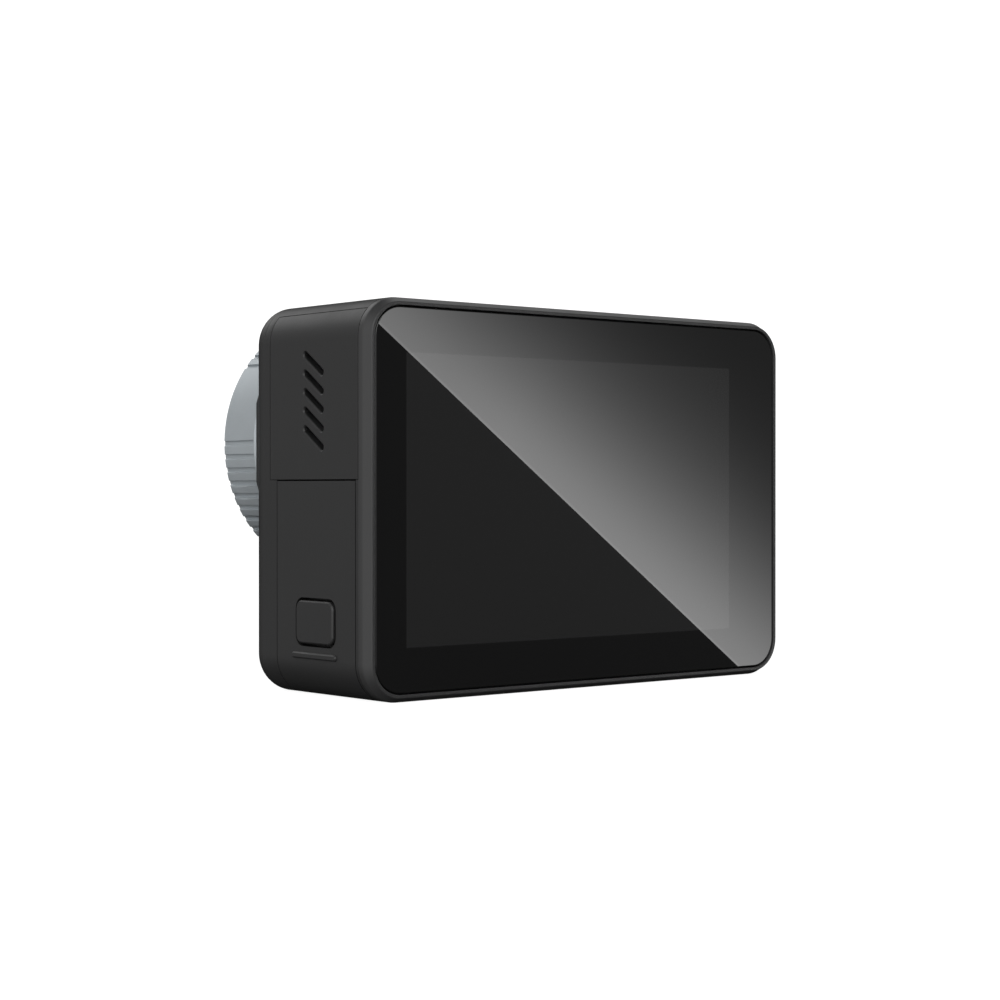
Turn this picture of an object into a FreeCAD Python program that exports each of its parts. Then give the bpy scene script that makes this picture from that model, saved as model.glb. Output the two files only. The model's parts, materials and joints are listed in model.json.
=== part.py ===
import FreeCAD, Part
import math
import os

# Action camera. X runs across the screen, and the speaker and battery door are on the +X side.
# Y runs through the camera: the lens looks along -Y and the screen faces +Y. Z is up.
# The origin is the centre of the bounding box in X and Y, on the flat base. Millimetres.
# The pieces are drawn about the middle of the case's width, then all moved by the same small step.

Vector = FreeCAD.Vector

# ---- driving dimensions of the case
WIDTH = 60.0
HEIGHT = 41.0
BODY_DEPTH = 21.4
RING_REACH = 7.8
CORNER_R = 4.1
FRONT_ROUND = 2.64
BACK_CHAMFER_ACROSS = 0.5
BACK_CHAMFER_DEEP = 0.95
WALL = 1.5
MERGE = 0.1
BEYOND = 1.0

HALF_W = WIDTH / 2
FRONT_Y = -7.0
BACK_Y = FRONT_Y + BODY_DEPTH
RING_FRONT_Y = FRONT_Y - RING_REACH
FRONT_SPLIT_Y = FRONT_Y + 3.0
BEZEL_SPLIT_Y = BACK_Y - 1.7
FRONT_INNER_Y = FRONT_Y + WALL
TOP_INNER_Z = HEIGHT - WALL
MID_Y = (FRONT_Y + BACK_Y) / 2

# ---- inner ledge and the plates that are screwed to it
LEDGE_INSET = 2.6
LEDGE_Y = (-2.6, -1.8)
CHASSIS_Y = (-3.2, -2.6)
TONGUE_INSET = (1.6, 2.4)
TONGUE_Y = (FRONT_SPLIT_Y, -3.2)
TONGUE_ROOT = 0.6
GASKET_INSET = (1.65, 2.45)
GASKET_Y = (-3.12, -2.68)
CASE_SCREWS = ((-25.0, 4.8), (25.0, 4.8), (-25.0, 36.2), (25.0, 36.2))
SCREW_BOSS_R = 1.5
SCREW_TAB_R = 2.7
SCREW_R = 0.75
SCREW_CLEAR = 0.02
SCREW_CLEAR_R = 0.95
SCREW_HEAD_R = 1.35
SCREW_HEAD_H = 0.45
SCREW_RECESS_SHARE = 0.6
SCREW_RECESS_HALF = 0.14
SCREW_TIP_Y = FRONT_INNER_Y + 0.2

# ---- lens axis and ring
LENS_X = 14.15
LENS_Z = 26.6
BOSS_R = 15.1
BOSS_H = 0.78
BOSS_SINK = 0.5
BOSS_CHAMFER = 0.12
BOSS_FLAT_X = 28.65
BOSS_FLAT_Z = HEIGHT - 1.4
RING_R = 14.3
RING_BORE_R = 12.46
RING_BACK_Y = FRONT_Y - BOSS_H - 0.15
RING_CHAMFER = 0.5
RING_FRONT_CHAMFER = 0.5
RING_SEAT_Y = -11.9
RING_SEAT_R = 10.72
RING_MOUTH_R = 9.5
RING_FLARE_R = 11.6
RING_FLARE_DEPTH = 1.4
GLASS_DISC_Y = (-12.85, -11.95)
GLASS_DISC_R = 10.65
GLASS_DISC_CHAMFER = 0.12
GRIP_GROUPS = 4
GRIP_GROOVES = 10
GRIP_PITCH_DEG = 5.9
GRIP_FIRST_DEG = 0.0
GRIP_WIDTH = 0.53
GRIP_DEPTH = 0.28
GRIP_END_Y = RING_BACK_Y - RING_CHAMFER - 0.1
COLLAR_R = (10.0, 12.4)
COLLAR_FRONT_Y = -11.0
COLLAR_FLANGE_R = 12.7
COLLAR_FLANGE_T = 0.6
COLLAR_CHAMFER = 0.25
COLLAR_BORE_R = 12.42
SEAL_R = (11.0, 12.1)
SEAL_Y = (RING_SEAT_Y + 0.03, COLLAR_FRONT_Y - 0.05)
BARREL_R = (9.6, 7.2, 6.0)
BARREL_Y = (-10.4, -6.0, -1.0, 4.4)
BARREL_BORES = ((8.4, -8.2), (6.2, -3.0), (4.4, 4.4))
BARREL_RIM_T = 0.4
BARREL_RIM_DEPTH = 0.6
LENS_CLEAR = 0.05
FRONT_LENS_EDGE_Y = -9.4
FRONT_LENS_CROWN = 1.6
MIDDLE_LENS_Y = (-5.6, -4.4)
MIDDLE_LENS_CROWN = 0.9
REAR_LENS_Y = (0.2, 2.6)
REAR_LENS_CROWN = 0.7
LENS_GASKET_Y = (-8.2, -7.4)
HOLDER_NECK_R = 7.4
HOLDER_NECK_Y = (-0.8, 4.7)
HOLDER_HALF = 7.9
HOLDER_Y = (4.6, 6.9)
HOLDER_FLOOR_Y = 4.9
HOLDER_ROOM_HALF = (5.6, 5.1)
FILTER_HALF = (4.5, 4.0)
FILTER_Y = (5.0, 5.3)
SENSOR_HALF = (5.0, 4.5)
SENSOR_Y = (6.0, 6.88)
SENSOR_BOARD_HALF = (8.0, 8.0)
SENSOR_BOARD_Y = (6.92, 7.7)
FLEX_T = 0.15
FLEX_GAP = 0.02
FLEX_HALF_W = 3.5
FLEX_FOOT_Z = LENS_Z + 6.0
FLEX_FOLD_Z = LENS_Z + 9.6
CHASSIS_LENS_R = 7.5

# ---- speaker panel and its slots
PANEL_T = 1.0
PANEL_Y = (-2.95, 12.63)
PANEL_BOTTOM_Z = 22.59
PANEL_GAP = 0.08
PANEL_CLEAR = 0.05
PANEL_TOP_SHIFT = 0.12
SLOT_COUNT = 5
SLOT_PITCH = 1.92
SLOT_WIDTH = 0.62
SLOT_CHAMFER = 0.14
SLOT_FROM = (3.48, 35.46)
SLOT_TO = (6.32, 33.58)
SPEAKER_WINDOW_OVER = 1.2
SPEAKER_WINDOW_Z = (25.0, 36.4)
MESH_X = (28.62, 28.8)
MESH_OVER = 1.1
MESH_Z = (25.1, 36.3)
SPEAKER_R = 1.2
SPEAKER_CHAMFER = 0.3
SPEAKER_Y = (0.3, 9.3)
SPEAKER_Z = (24.2, 37.0)
SPEAKER_X = (25.2, 28.2)

# ---- battery door
DOOR_T = 1.3
DOOR_Y = (-1.64, 12.18)
DOOR_TOP_Z = 22.44
DOOR_GAP = 0.12
DOOR_END_X = 25.0
RECESS_T = 1.4
SHELF_X = (27.4, HALF_W - RECESS_T)
SHELF_Y = (-1.8, 12.7)
SHELF_TOP_Z = 21.95
SHELF_FLOOR_X = 23.5
OPENING_Y = (-0.95, 11.5)
OPENING_Z = (2.2, 18.7)
HINGE_X = HALF_W - 0.62
HINGE_Z = 20.95
HINGE_SWEEP_R = 1.85
PIN_R = 0.35
PIN_CLEAR = 0.005
PIN_HOLE_R = 0.39
PIN_Y = (-3.2, 12.62)
GASKET_GROOVE_X = (28.3, 29.2)
GASKET_W = 0.42
GASKET_PATH_Y = (-1.5, 12.0)
GASKET_PATH_Z = (1.65, 19.15)
GASKET_R = (1.0, 0.6)
GASKET_CLEAR = 0.02
GASKET_PROUD = 0.05
GASKET_END_Z = CORNER_R - DOOR_T

# ---- latch in the door
BUTTON_HOLE_Y = (1.75, 8.85)
BUTTON_HOLE_Z = (5.35, 10.4)
BUTTON_HOLE_R = 1.2
BUTTON_GAP = 0.3
BUTTON_FACE_X = HALF_W + 0.24
BUTTON_CHAMFER = 0.15
BUTTON_FLANGE_X = (28.3, 28.62)
BUTTON_FLANGE_OVER = 0.25
BEAD_Y = (1.23, 9.03)
BEAD_Z = 4.4
BEAD_WIDTH = 0.66
BEAD_PROUD = 0.25
BEAD_CHAMFER = 0.15
BOLT_X = (27.72, 28.3)
BOLT_Y = (0.4, 10.1)
BOLT_Z = (2.75, 4.35)
BOLT_TIP_Y = (4.2, 6.2)
BOLT_TIP_X = (27.28, 27.6)
BOLT_TIP_Z = 1.9
BOLT_FOOT_T = 0.35
KEEPER_X = 26.9
KEEPER_Y = (3.9, 6.5)
KEEPER_Z = (1.65, 2.3)
SPRING_OFFSETS = (0.85, 9.65)
SPRING_R = (0.26, 0.46)
SPRING_X = 28.0
SPRING_TOP_Z = 8.0
RIB_X = (27.55, 28.72)
RIB_Z = (8.0, 8.6)
RIB_HALF_Y = 0.45

# ---- battery, bay, card and connector behind the door
BATTERY_X = (-13.0, 27.0)
BATTERY_Y = (-0.75, 9.25)
BATTERY_Z = (2.75, 14.0)
BATTERY_R = 1.2
BAY_CLEAR = 0.08
BAY_WALL = 0.4
BAY_X = (-15.5, 27.2)
BAY_BACK_T = 0.5
TAB_T = 0.2
TAB_HALF_W = 2.5
TAB_Z = (10.9, 13.4)
TAB_R = 0.6
CONTACT_BLOCK_T = 1.0
CONTACT_BLOCK_Y = (0.5, 8.0)
CONTACT_BLOCK_Z = (5.0, 11.5)
CONTACT_BLADES_Y = (1.75, 4.25, 6.75)
CONTACT_BLADE_HALF = 0.5
CONTACT_BLADE_Z = (6.0, 10.5)
USB_X = (20.0, 27.0)
USB_Y = (0.6, 9.54)
USB_Z = (15.14, 18.4)
USB_R = 1.6
USB_SHELL_T = 0.35
USB_BACK_T = 1.0
USB_TONGUE_HALF = (3.35, 0.35)
USB_TONGUE_SET_BACK = 0.8
USB_BOARD_X = (17.5, 26.6)
USB_BOARD_Y = (-0.4, 10.6)
USB_BOARD_Z = (14.6, 15.1)
CARD_X = (12.4, 27.35)
CARD_Y = (10.1, 10.8)
CARD_Z = (3.2, 14.2)
CARD_NOTCH_X = (18.4, 19.8)
CARD_NOTCH_DEPTH = 0.8
CARD_RIM_W = 0.8
CARD_RIM_PROUD = 0.2
CARD_RIM_INSET = 1.0
CARD_CLEAR = 0.05
CARD_TRAVEL_ROOM = 1.1
SOCKET_T = 0.2
SOCKET_OVER = 0.3
SOCKET_FACE_X = 25.6

# ---- screen stack
GLASS_INSET_X = 0.94
GLASS_INSET_Z = 0.945
GLASS_R = 3.2
GLASS_GAP = 0.1
GLASS_Y = (13.38, BACK_Y - 0.12)
GLASS_CHAMFER = 0.12
ADHESIVE_T = 0.13
SCREEN_WINDOW = (-24.6, 27.3, 3.0, 38.0)
LCD_Y = (12.6, 13.2)
BACKLIGHT_Y = (11.95, 12.58)
LCD_AREA = (-23.7, 26.4, 3.5, 37.5)
LCD_R = 0.6
BACKLIGHT_INSET = 0.4
ADHESIVE_INSET = 0.1

# ---- boards
BOARD_X = (-27.5, 26.9)
BOARD_Y = (11.05, 11.85)
BOARD_Z = (2.6, 38.4)
BOARD_SCREWS = ((-25.2, 31.0), (-25.2, 9.0))
BOARD_R = 2.0
BOARD_POST_R = 1.2
BOARD_HOLE_R = 0.8
BOARD_SCREW_R = 0.58
BOARD_SCREW_HEAD_R = 1.15
BOARD_SCREW_LENGTH = 2.8
BOARD_THREAD_R = 0.6
BOARD_THREAD_DEPTH = 3.0
CHASSIS_SLOT_X = (-20.0, -6.0)
CHASSIS_SLOTS_Z = (16.0, 22.0, 28.0)
CHASSIS_SLOT_H = 3.0
CHASSIS_CLEAR = 0.1
SHIELD_X = (-23.5, -7.0)
SHIELD_Y = 9.4
SHIELD_Z = (18.5, 35.0)
SHIELD_T = 0.2
SPREADER_X = (-23.6, -4.0)
SPREADER_Y = (9.1, 9.35)
SPREADER_Z = (17.0, 35.4)
PROCESSOR_X = (-22.0, -10.0)
PROCESSOR_Y = 9.95
PROCESSOR_Z = (20.5, 32.5)
MEMORY_X = (0.5, 8.5)
MEMORY_Y = 10.1
MEMORY_FROM_Z = (19.5, 27.0)
MEMORY_H = 6.0
ANTENNA_Y = (1.0, 9.0)
ANTENNA_Z = (12.0, 32.0)
ANTENNA_T = 0.25
ANTENNA_GAP = 0.1

# ---- front screen, microphones and light
FRONT_GLASS = (-25.5, -3.5, 12.0, 36.0)
FRONT_GLASS_R = 2.5
FRONT_GLASS_T = 0.8
FRONT_GLASS_SET_BACK = 0.03
FRONT_GLASS_CLEAR = 0.05
FRONT_DISPLAY_GAP = 0.1
FRONT_DISPLAY_BACK_GAP = 0.4
FRONT_WINDOW = (-24.2, -4.8, 13.4, 34.6)
MIC_X = -14.5
MIC_Z = 7.5
TOP_MIC_X = 3.0
MIC_HOLE_R = 0.35
MIC_HOLE_PITCH = 1.4
MIC_HALF = (1.9, 1.4)
MIC_T = 1.0
MIC_GAP = 0.2
MIC_MESH_HALF = (2.2, 1.2)
MIC_MESH_DEPTH = (0.02, 0.18)
LIGHT_X = -22.5
LIGHT_R = 0.9
LIGHT_SET_BACK = 0.05
LIGHT_FLANGE = 0.5
LIGHT_FLANGE_T = 0.6

# ---- buttons on the top
SHUTTER_X = -15.0
SHUTTER_R = 4.4
POWER_X = -5.5
POWER_R = 2.2
TOP_BUTTON_Y = 4.2
TOP_BUTTON_GAP = 0.13
TOP_BUTTON_Z = (39.0, HEIGHT - 0.08)
TOP_FLANGE_Z = (38.6, 39.2)
TOP_FLANGE_OVER = 0.6
TOP_STEM_Z = 37.45
TOP_STEM_R = 1.0
BUTTON_SEAL_DEPTH = (0.95, 0.55)
BUTTON_SEAL_CLEAR = 0.03
SHUTTER_CHAMFER = 0.3
POWER_CHAMFER = 0.2
SWITCH_Z = (36.25, 36.85)
SWITCH_HALF = 1.6
PLUNGER_R = 0.8
PLUNGER_RISE = 0.04
BUTTON_BOARD_X = (-20.5, -1.5)
BUTTON_BOARD_Y = (1.4, 7.0)
BUTTON_BOARD_T = 0.6

# ---- tripod socket
TRIPOD_X = -21.0
TRIPOD_HOLE_R = 2.55
TRIPOD_INSERT_R = 4.0
TRIPOD_INSERT_H = 5.0
TRIPOD_BOSS_R = 5.4
TRIPOD_BOSS_TOP_Z = 6.2
TRIPOD_INSERT_GAP = 0.05
TRIPOD_INSERT_CLEAR = 0.005

# ---- the middle of the whole bounding box, where the origin goes
CENTRE_X = BEAD_PROUD / 2
CENTRE_Y = (RING_FRONT_Y + BACK_Y) / 2


# ================================================================ shape helpers
def axis_vector(axis, a, b, c):
    """A point with c along `axis` and a, b along the other two, in X, Y, Z order."""
    return {"X": Vector(c, a, b), "Y": Vector(a, c, b), "Z": Vector(a, b, c)}[axis]


def prism(axis, points, span):
    """A straight-sided prism along `axis` through a closed list of (a, b) points."""
    low, high = span
    corners = [axis_vector(axis, a, b, low) for a, b in points]
    face = Part.Face(Part.makePolygon(corners + corners[:1]))
    return face.extrude(axis_vector(axis, 0, 0, high - low))


def box(x, y, z):
    """A box between the low and high values of each axis."""
    corner = Vector(x[0], y[0], z[0])
    return Part.makeBox(x[1] - x[0], y[1] - y[0], z[1] - z[0], corner)


def rounded_prism(axis, a, b, radius, span):
    """A prism along `axis` with a rounded rectangle outline."""
    low, high = span
    cut = radius * (1 - math.sqrt(0.5))
    corners = (
        ((a[1] - radius, b[0]), (a[1] - cut, b[0] + cut), (a[1], b[0] + radius)),
        ((a[1], b[1] - radius), (a[1] - cut, b[1] - cut), (a[1] - radius, b[1])),
        ((a[0] + radius, b[1]), (a[0] + cut, b[1] - cut), (a[0], b[1] - radius)),
        ((a[0], b[0] + radius), (a[0] + cut, b[0] + cut), (a[0] + radius, b[0])),
    )
    edges = []
    for index, corner in enumerate(corners):
        start, middle, end = (axis_vector(axis, p, q, low) for p, q in corner)
        following = axis_vector(axis, *corners[(index + 1) % 4][0], low)
        edges.append(Part.Arc(start, middle, end).toShape())
        edges.append(Part.LineSegment(end, following).toShape())
    face = Part.Face(Part.Wire(Part.__sortEdges__(edges)))
    return face.extrude(axis_vector(axis, 0, 0, high - low))


def stadium_x(start, end, width, span):
    """A slot with round ends between two (y, z) centres, cut along X."""
    along = Vector(0, end[0] - start[0], end[1] - start[1])
    side = Vector(1, 0, 0).cross(along).normalize() * (width / 2)
    ahead = Vector(along).normalize() * (width / 2)
    first = Vector(span[0], start[0], start[1])
    last = Vector(span[0], end[0], end[1])
    edges = [
        Part.LineSegment(first + side, last + side).toShape(),
        Part.Arc(last + side, last + ahead, last - side).toShape(),
        Part.LineSegment(last - side, first - side).toShape(),
        Part.Arc(first - side, first - ahead, first + side).toShape(),
    ]
    face = Part.Face(Part.Wire(edges))
    return face.extrude(Vector(span[1] - span[0], 0, 0))


def rod(axis, a, b, radius, span):
    """A round rod along `axis` centred on (a, b)."""
    start = axis_vector(axis, a, b, span[0])
    direction = axis_vector(axis, 0, 0, 1)
    return Part.makeCylinder(radius, span[1] - span[0], start, direction)


def tube(axis, a, b, radii, span):
    """A round tube along `axis`, with an inner and an outer radius."""
    return rod(axis, a, b, radii[1], span).cut(rod(axis, a, b, radii[0], span))


def lens_rod(radius, span):
    """A round rod on the lens axis."""
    return rod("Y", LENS_X, LENS_Z, radius, span)


def lens_cone(radius_low, radius_high, span):
    """A cone on the lens axis, from one radius at the low end to another at the high end."""
    base = Vector(LENS_X, span[0], LENS_Z)
    return Part.makeCone(radius_low, radius_high, span[1] - span[0], base, Vector(0, 1, 0))


def case_prism(inset, span):
    """The outline of the case, `inset` inside its outer skin, as a prism along Y."""
    width = (-HALF_W + inset, HALF_W - inset)
    height = (inset, HEIGHT - inset)
    return rounded_prism("Y", width, height, CORNER_R - inset, span)


def case_band(insets, span):
    """The part of the case between two insets."""
    return case_prism(insets[0], span).cut(case_prism(insets[1], span))


def grow(span, amount):
    """The span made longer by `amount` at both ends."""
    return (span[0] - amount, span[1] + amount)


def about(middle, half):
    """A span of `half` to each side of a middle."""
    return (middle - half, middle + half)


def edges_at(shape, axis, place):
    """The edges of `shape` that lie in one plane square to an axis."""
    limit = 1e-6
    found = []
    for edge in shape.Edges:
        bounds = edge.BoundBox
        ends = (getattr(bounds, axis + "Min"), getattr(bounds, axis + "Max"))
        if all(abs(end - place) < limit for end in ends):
            found.append(edge)
    return found


def fuse(shapes):
    """One shape from several that touch."""
    return shapes[0].multiFuse(shapes[1:]).removeSplitter()


def cut_all(shape, tools):
    """`shape` without each of the tools."""
    for tool in tools:
        shape = shape.cut(tool)
    return shape


# ================================================================ case
def panel_region(low_z, shift, span):
    """The stretch of side wall that the speaker panel covers, up to the middle of the top corner."""
    far = 2 * CORNER_R
    centre_x = HALF_W - CORNER_R
    centre_z = HEIGHT - CORNER_R + shift
    points = (
        (centre_x, low_z),
        (centre_x + far, low_z),
        (centre_x + far, centre_z + far),
        (centre_x, centre_z),
    )
    return prism("Y", points, span)


def door_band(thickness, end_x, top_z, span):
    """The door's shell: side wall, bottom corner and the first strip of the base."""
    region = box((end_x, HALF_W + BEYOND), span, (-BEYOND, top_z))
    return case_band((0, thickness), span).common(region)


def speaker_slots(span):
    """The slanted slots of the speaker, one below the other, each with a chamfered mouth."""
    slots = []
    mouth_x = (HALF_W - SLOT_CHAMFER, HALF_W + SLOT_CHAMFER)
    for index in range(SLOT_COUNT):
        drop = index * SLOT_PITCH
        start = (SLOT_FROM[0], SLOT_FROM[1] - drop)
        end = (SLOT_TO[0], SLOT_TO[1] - drop)
        mouth = stadium_x(start, end, SLOT_WIDTH + 2 * SLOT_CHAMFER, mouth_x)
        mouth = mouth.makeChamfer(SLOT_CHAMFER, edges_at(mouth, "X", mouth_x[0]))
        slots += [stadium_x(start, end, SLOT_WIDTH, span), mouth]
    return slots


def top_button_holes(radius_extra, span):
    """The two round holes in the top for the shutter and power buttons."""
    return [
        rod("Z", SHUTTER_X, TOP_BUTTON_Y, SHUTTER_R + radius_extra, span),
        rod("Z", POWER_X, TOP_BUTTON_Y, POWER_R + radius_extra, span),
    ]


def microphone_holes(axis, a, b, span):
    """Three small holes in a row along X."""
    offsets = (-MIC_HOLE_PITCH, 0, MIC_HOLE_PITCH)
    return [rod(axis, a + offset, b, MIC_HOLE_R, span) for offset in offsets]


def main_housing():
    """The band of the case, with the inner ledge, the door's opening and the tripod boss."""
    band = case_band((0, WALL), (FRONT_SPLIT_Y, BEZEL_SPLIT_Y))
    ledge = case_band((WALL - MERGE, LEDGE_INSET), LEDGE_Y)
    inside = case_prism(WALL - MERGE, LEDGE_Y)
    tabs = [rod("Y", x, z, SCREW_TAB_R, LEDGE_Y).common(inside) for x, z in CASE_SCREWS]
    shelf = box((SHELF_X[0], HALF_W - WALL + MERGE), SHELF_Y, (WALL - MERGE, SHELF_TOP_Z))
    floor = box((SHELF_FLOOR_X, SHELF_X[1]), SHELF_Y, (RECESS_T - MERGE, OPENING_Z[0]))
    boss = rod("Z", TRIPOD_X, MID_Y, TRIPOD_BOSS_R, (WALL - MERGE, TRIPOD_BOSS_TOP_Z))
    housing = fuse([band, ledge, shelf, floor, boss] + tabs)

    panel_span = (PANEL_Y[0] - PANEL_GAP, BEZEL_SPLIT_Y + BEYOND)
    panel_room = case_band((-BEYOND, PANEL_T + PANEL_CLEAR), panel_span)
    panel_reach = panel_region(PANEL_BOTTOM_Z - PANEL_CLEAR, PANEL_TOP_SHIFT, panel_span)
    panel_room = panel_room.common(panel_reach)
    door_span = grow(DOOR_Y, DOOR_GAP)
    door_room = door_band(RECESS_T, DOOR_END_X - DOOR_GAP, PANEL_BOTTOM_Z, door_span)
    hinge_room = rod("Y", HINGE_X, HINGE_Z, HINGE_SWEEP_R, door_span)
    opening = box((SHELF_X[0] - BEYOND, HALF_W), OPENING_Y, OPENING_Z)
    window_y = grow((SLOT_FROM[0], SLOT_TO[0]), SPEAKER_WINDOW_OVER)
    speaker_window = box((SPEAKER_X[1], HALF_W), window_y, SPEAKER_WINDOW_Z)
    keeper = box((KEEPER_X, HALF_W), KEEPER_Y, KEEPER_Z)
    pin_hole = rod("Y", HINGE_X, HINGE_Z, PIN_R, PIN_Y)
    tripod_hole = rod("Z", TRIPOD_X, MID_Y, TRIPOD_INSERT_R, (-BEYOND, TRIPOD_INSERT_H))
    screw_holes = [rod("Y", x, z, SCREW_CLEAR_R, grow(LEDGE_Y, BEYOND)) for x, z in CASE_SCREWS]
    above = (TOP_INNER_Z - BEYOND, HEIGHT + BEYOND)
    button_holes = top_button_holes(TOP_BUTTON_GAP, above)
    mic_holes = microphone_holes("Z", TOP_MIC_X, TOP_BUTTON_Y, above)
    rooms = [panel_room, door_room, hinge_room, opening, speaker_window, keeper]
    round_holes = [pin_hole, tripod_hole] + screw_holes + button_holes + mic_holes
    return cut_all(housing, rooms + round_holes)


def front_cover():
    """The moulded front with its lens boss, screen pocket, tongue and screw bosses."""
    slab = case_prism(0, (FRONT_Y, FRONT_SPLIT_Y))
    slab = slab.makeFillet(FRONT_ROUND, edges_at(slab, "Y", FRONT_Y))
    slab = slab.cut(case_prism(WALL, (FRONT_INNER_Y, FRONT_SPLIT_Y + BEYOND)))
    boss_y = (FRONT_Y - BOSS_H, FRONT_Y + BOSS_SINK)
    boss = lens_rod(BOSS_R, boss_y)
    boss = boss.common(box((LENS_X - 2 * BOSS_R, BOSS_FLAT_X), boss_y, (0, BOSS_FLAT_Z)))
    boss = boss.makeChamfer(BOSS_CHAMFER, edges_at(boss, "Y", boss_y[0]))
    tongue = case_band(TONGUE_INSET, (TONGUE_Y[0] - TONGUE_ROOT, TONGUE_Y[1]))
    bridge = case_band((WALL - MERGE, TONGUE_INSET[1]), (TONGUE_Y[0] - TONGUE_ROOT, TONGUE_Y[0]))
    screw_boss_y = (FRONT_INNER_Y - MERGE, CHASSIS_Y[0])
    screw_bosses = [rod("Y", x, z, SCREW_BOSS_R, screw_boss_y) for x, z in CASE_SCREWS]
    cover = fuse([slab, boss, tongue, bridge] + screw_bosses)

    lens_hole = lens_rod(COLLAR_BORE_R, (boss_y[0] - BEYOND, FRONT_INNER_Y))
    flange_room = lens_rod(COLLAR_FLANGE_R + LENS_CLEAR, (FRONT_INNER_Y, CHASSIS_Y[1]))
    x0, x1, z0, z1 = FRONT_GLASS
    pocket_x = grow((x0, x1), GLASS_GAP)
    pocket_z = grow((z0, z1), GLASS_GAP)
    pocket_y = (FRONT_Y - BEYOND, FRONT_Y + FRONT_GLASS_T + FRONT_GLASS_CLEAR)
    pocket = rounded_prism("Y", pocket_x, pocket_z, FRONT_GLASS_R + GLASS_GAP, pocket_y)
    wx0, wx1, wz0, wz1 = FRONT_WINDOW
    window = box((wx0, wx1), (FRONT_Y, FRONT_INNER_Y + BEYOND), (wz0, wz1))
    through = (FRONT_Y - BEYOND, FRONT_INNER_Y + BEYOND)
    light_hole = rod("Y", LIGHT_X, MIC_Z, LIGHT_R + LENS_CLEAR, through)
    mic_holes = microphone_holes("Y", MIC_X, MIC_Z, through)
    screw_holes = [rod("Y", x, z, SCREW_R, (FRONT_INNER_Y, 0)) for x, z in CASE_SCREWS]
    round_holes = [lens_hole, flange_room, light_hole]
    return cut_all(cover, round_holes + [pocket, window] + mic_holes + screw_holes)


def case_gasket():
    """The flat seal between the front cover's tongue and the housing's ledge."""
    return case_band(GASKET_INSET, GASKET_Y)


def glass_prism(inset, span):
    """The outline of the cover glass, as a prism along Y."""
    width = (-HALF_W + GLASS_INSET_X + inset, HALF_W - GLASS_INSET_X - inset)
    height = (GLASS_INSET_Z + inset, HEIGHT - GLASS_INSET_Z - inset)
    return rounded_prism("Y", width, height, GLASS_R - inset, span)


def screen_window(span):
    """The window behind the glass that the display sits in."""
    x0, x1, z0, z1 = SCREEN_WINDOW
    return box((x0, x1), span, (z0, z1))


def rear_bezel():
    """The back frame: a broad chamfer, a flat lip and a ledge that the glass is glued to."""
    slab = case_prism(0, (BEZEL_SPLIT_Y, BACK_Y))
    back_edges = edges_at(slab, "Y", BACK_Y)
    slab = slab.makeChamfer(BACK_CHAMFER_DEEP, BACK_CHAMFER_ACROSS, back_edges)
    pocket = glass_prism(-GLASS_GAP, (GLASS_Y[0] - ADHESIVE_T, BACK_Y + BEYOND))
    return cut_all(slab, [pocket, screen_window((BEZEL_SPLIT_Y - BEYOND, BACK_Y))])


def cover_glass():
    """The touch screen's cover glass, with a fine chamfer round its outer face."""
    glass = glass_prism(0, GLASS_Y)
    return glass.makeChamfer(GLASS_CHAMFER, edges_at(glass, "Y", GLASS_Y[1]))


def screen_adhesive():
    """The frame of adhesive that seals the glass to the bezel."""
    span = (GLASS_Y[0] - ADHESIVE_T, GLASS_Y[0])
    return glass_prism(ADHESIVE_INSET, span).cut(screen_window(span))


def screen_layer(span, inset):
    """A flat layer of the display."""
    x0, x1, z0, z1 = LCD_AREA
    return rounded_prism("Y", grow((x0, x1), -inset), grow((z0, z1), -inset), LCD_R, span)


# ================================================================ side panel and door
def side_panel():
    """The speaker panel, with its slots, wrapping into the top corner."""
    shell = case_band((0, PANEL_T), PANEL_Y).common(panel_region(PANEL_BOTTOM_Z, 0, PANEL_Y))
    through = (HALF_W - PANEL_T - BEYOND, HALF_W + BEYOND)
    return cut_all(shell, speaker_slots(through))


def door_bead():
    """The raised finger bead under the latch button."""
    face_x = HALF_W + BEAD_PROUD
    ends = [(y, BEAD_Z) for y in grow(BEAD_Y, -BEAD_WIDTH / 2)]
    bead = stadium_x(ends[0], ends[1], BEAD_WIDTH, (HALF_W - MERGE, face_x))
    return bead.makeChamfer(BEAD_CHAMFER, edges_at(bead, "X", face_x))


def latch_ribs():
    """The two small ribs inside the door that the latch springs push against."""
    return [box(RIB_X, about(y, RIB_HALF_Y), RIB_Z) for y in SPRING_OFFSETS]


def gasket_loop(grow_by, span):
    """The rectangular path of the door's gasket."""
    outer_y, outer_z = grow(GASKET_PATH_Y, grow_by), grow(GASKET_PATH_Z, grow_by)
    inner_y = grow(GASKET_PATH_Y, -GASKET_W - grow_by)
    inner_z = grow(GASKET_PATH_Z, -GASKET_W - grow_by)
    loop = rounded_prism("X", outer_y, outer_z, GASKET_R[0], span)
    return loop.cut(rounded_prism("X", inner_y, inner_z, GASKET_R[1], span))


def battery_door():
    """The door, with its bead, the latch button's hole, the gasket groove and the pin hole."""
    shell = door_band(DOOR_T, DOOR_END_X, DOOR_TOP_Z, DOOR_Y)
    door = fuse([shell, door_bead()] + latch_ribs())
    through = (HALF_W - DOOR_T - BEYOND, HALF_W + BEYOND)
    hole = rounded_prism("X", BUTTON_HOLE_Y, BUTTON_HOLE_Z, BUTTON_HOLE_R, through)
    above_corner = box(through, grow(DOOR_Y, BEYOND), (GASKET_END_Z, DOOR_TOP_Z))
    groove = gasket_loop(GASKET_CLEAR, GASKET_GROOVE_X).common(above_corner)
    pin_hole = rod("Y", HINGE_X, HINGE_Z, PIN_HOLE_R, grow(DOOR_Y, BEYOND))
    return cut_all(door, [hole, groove, pin_hole])


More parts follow.
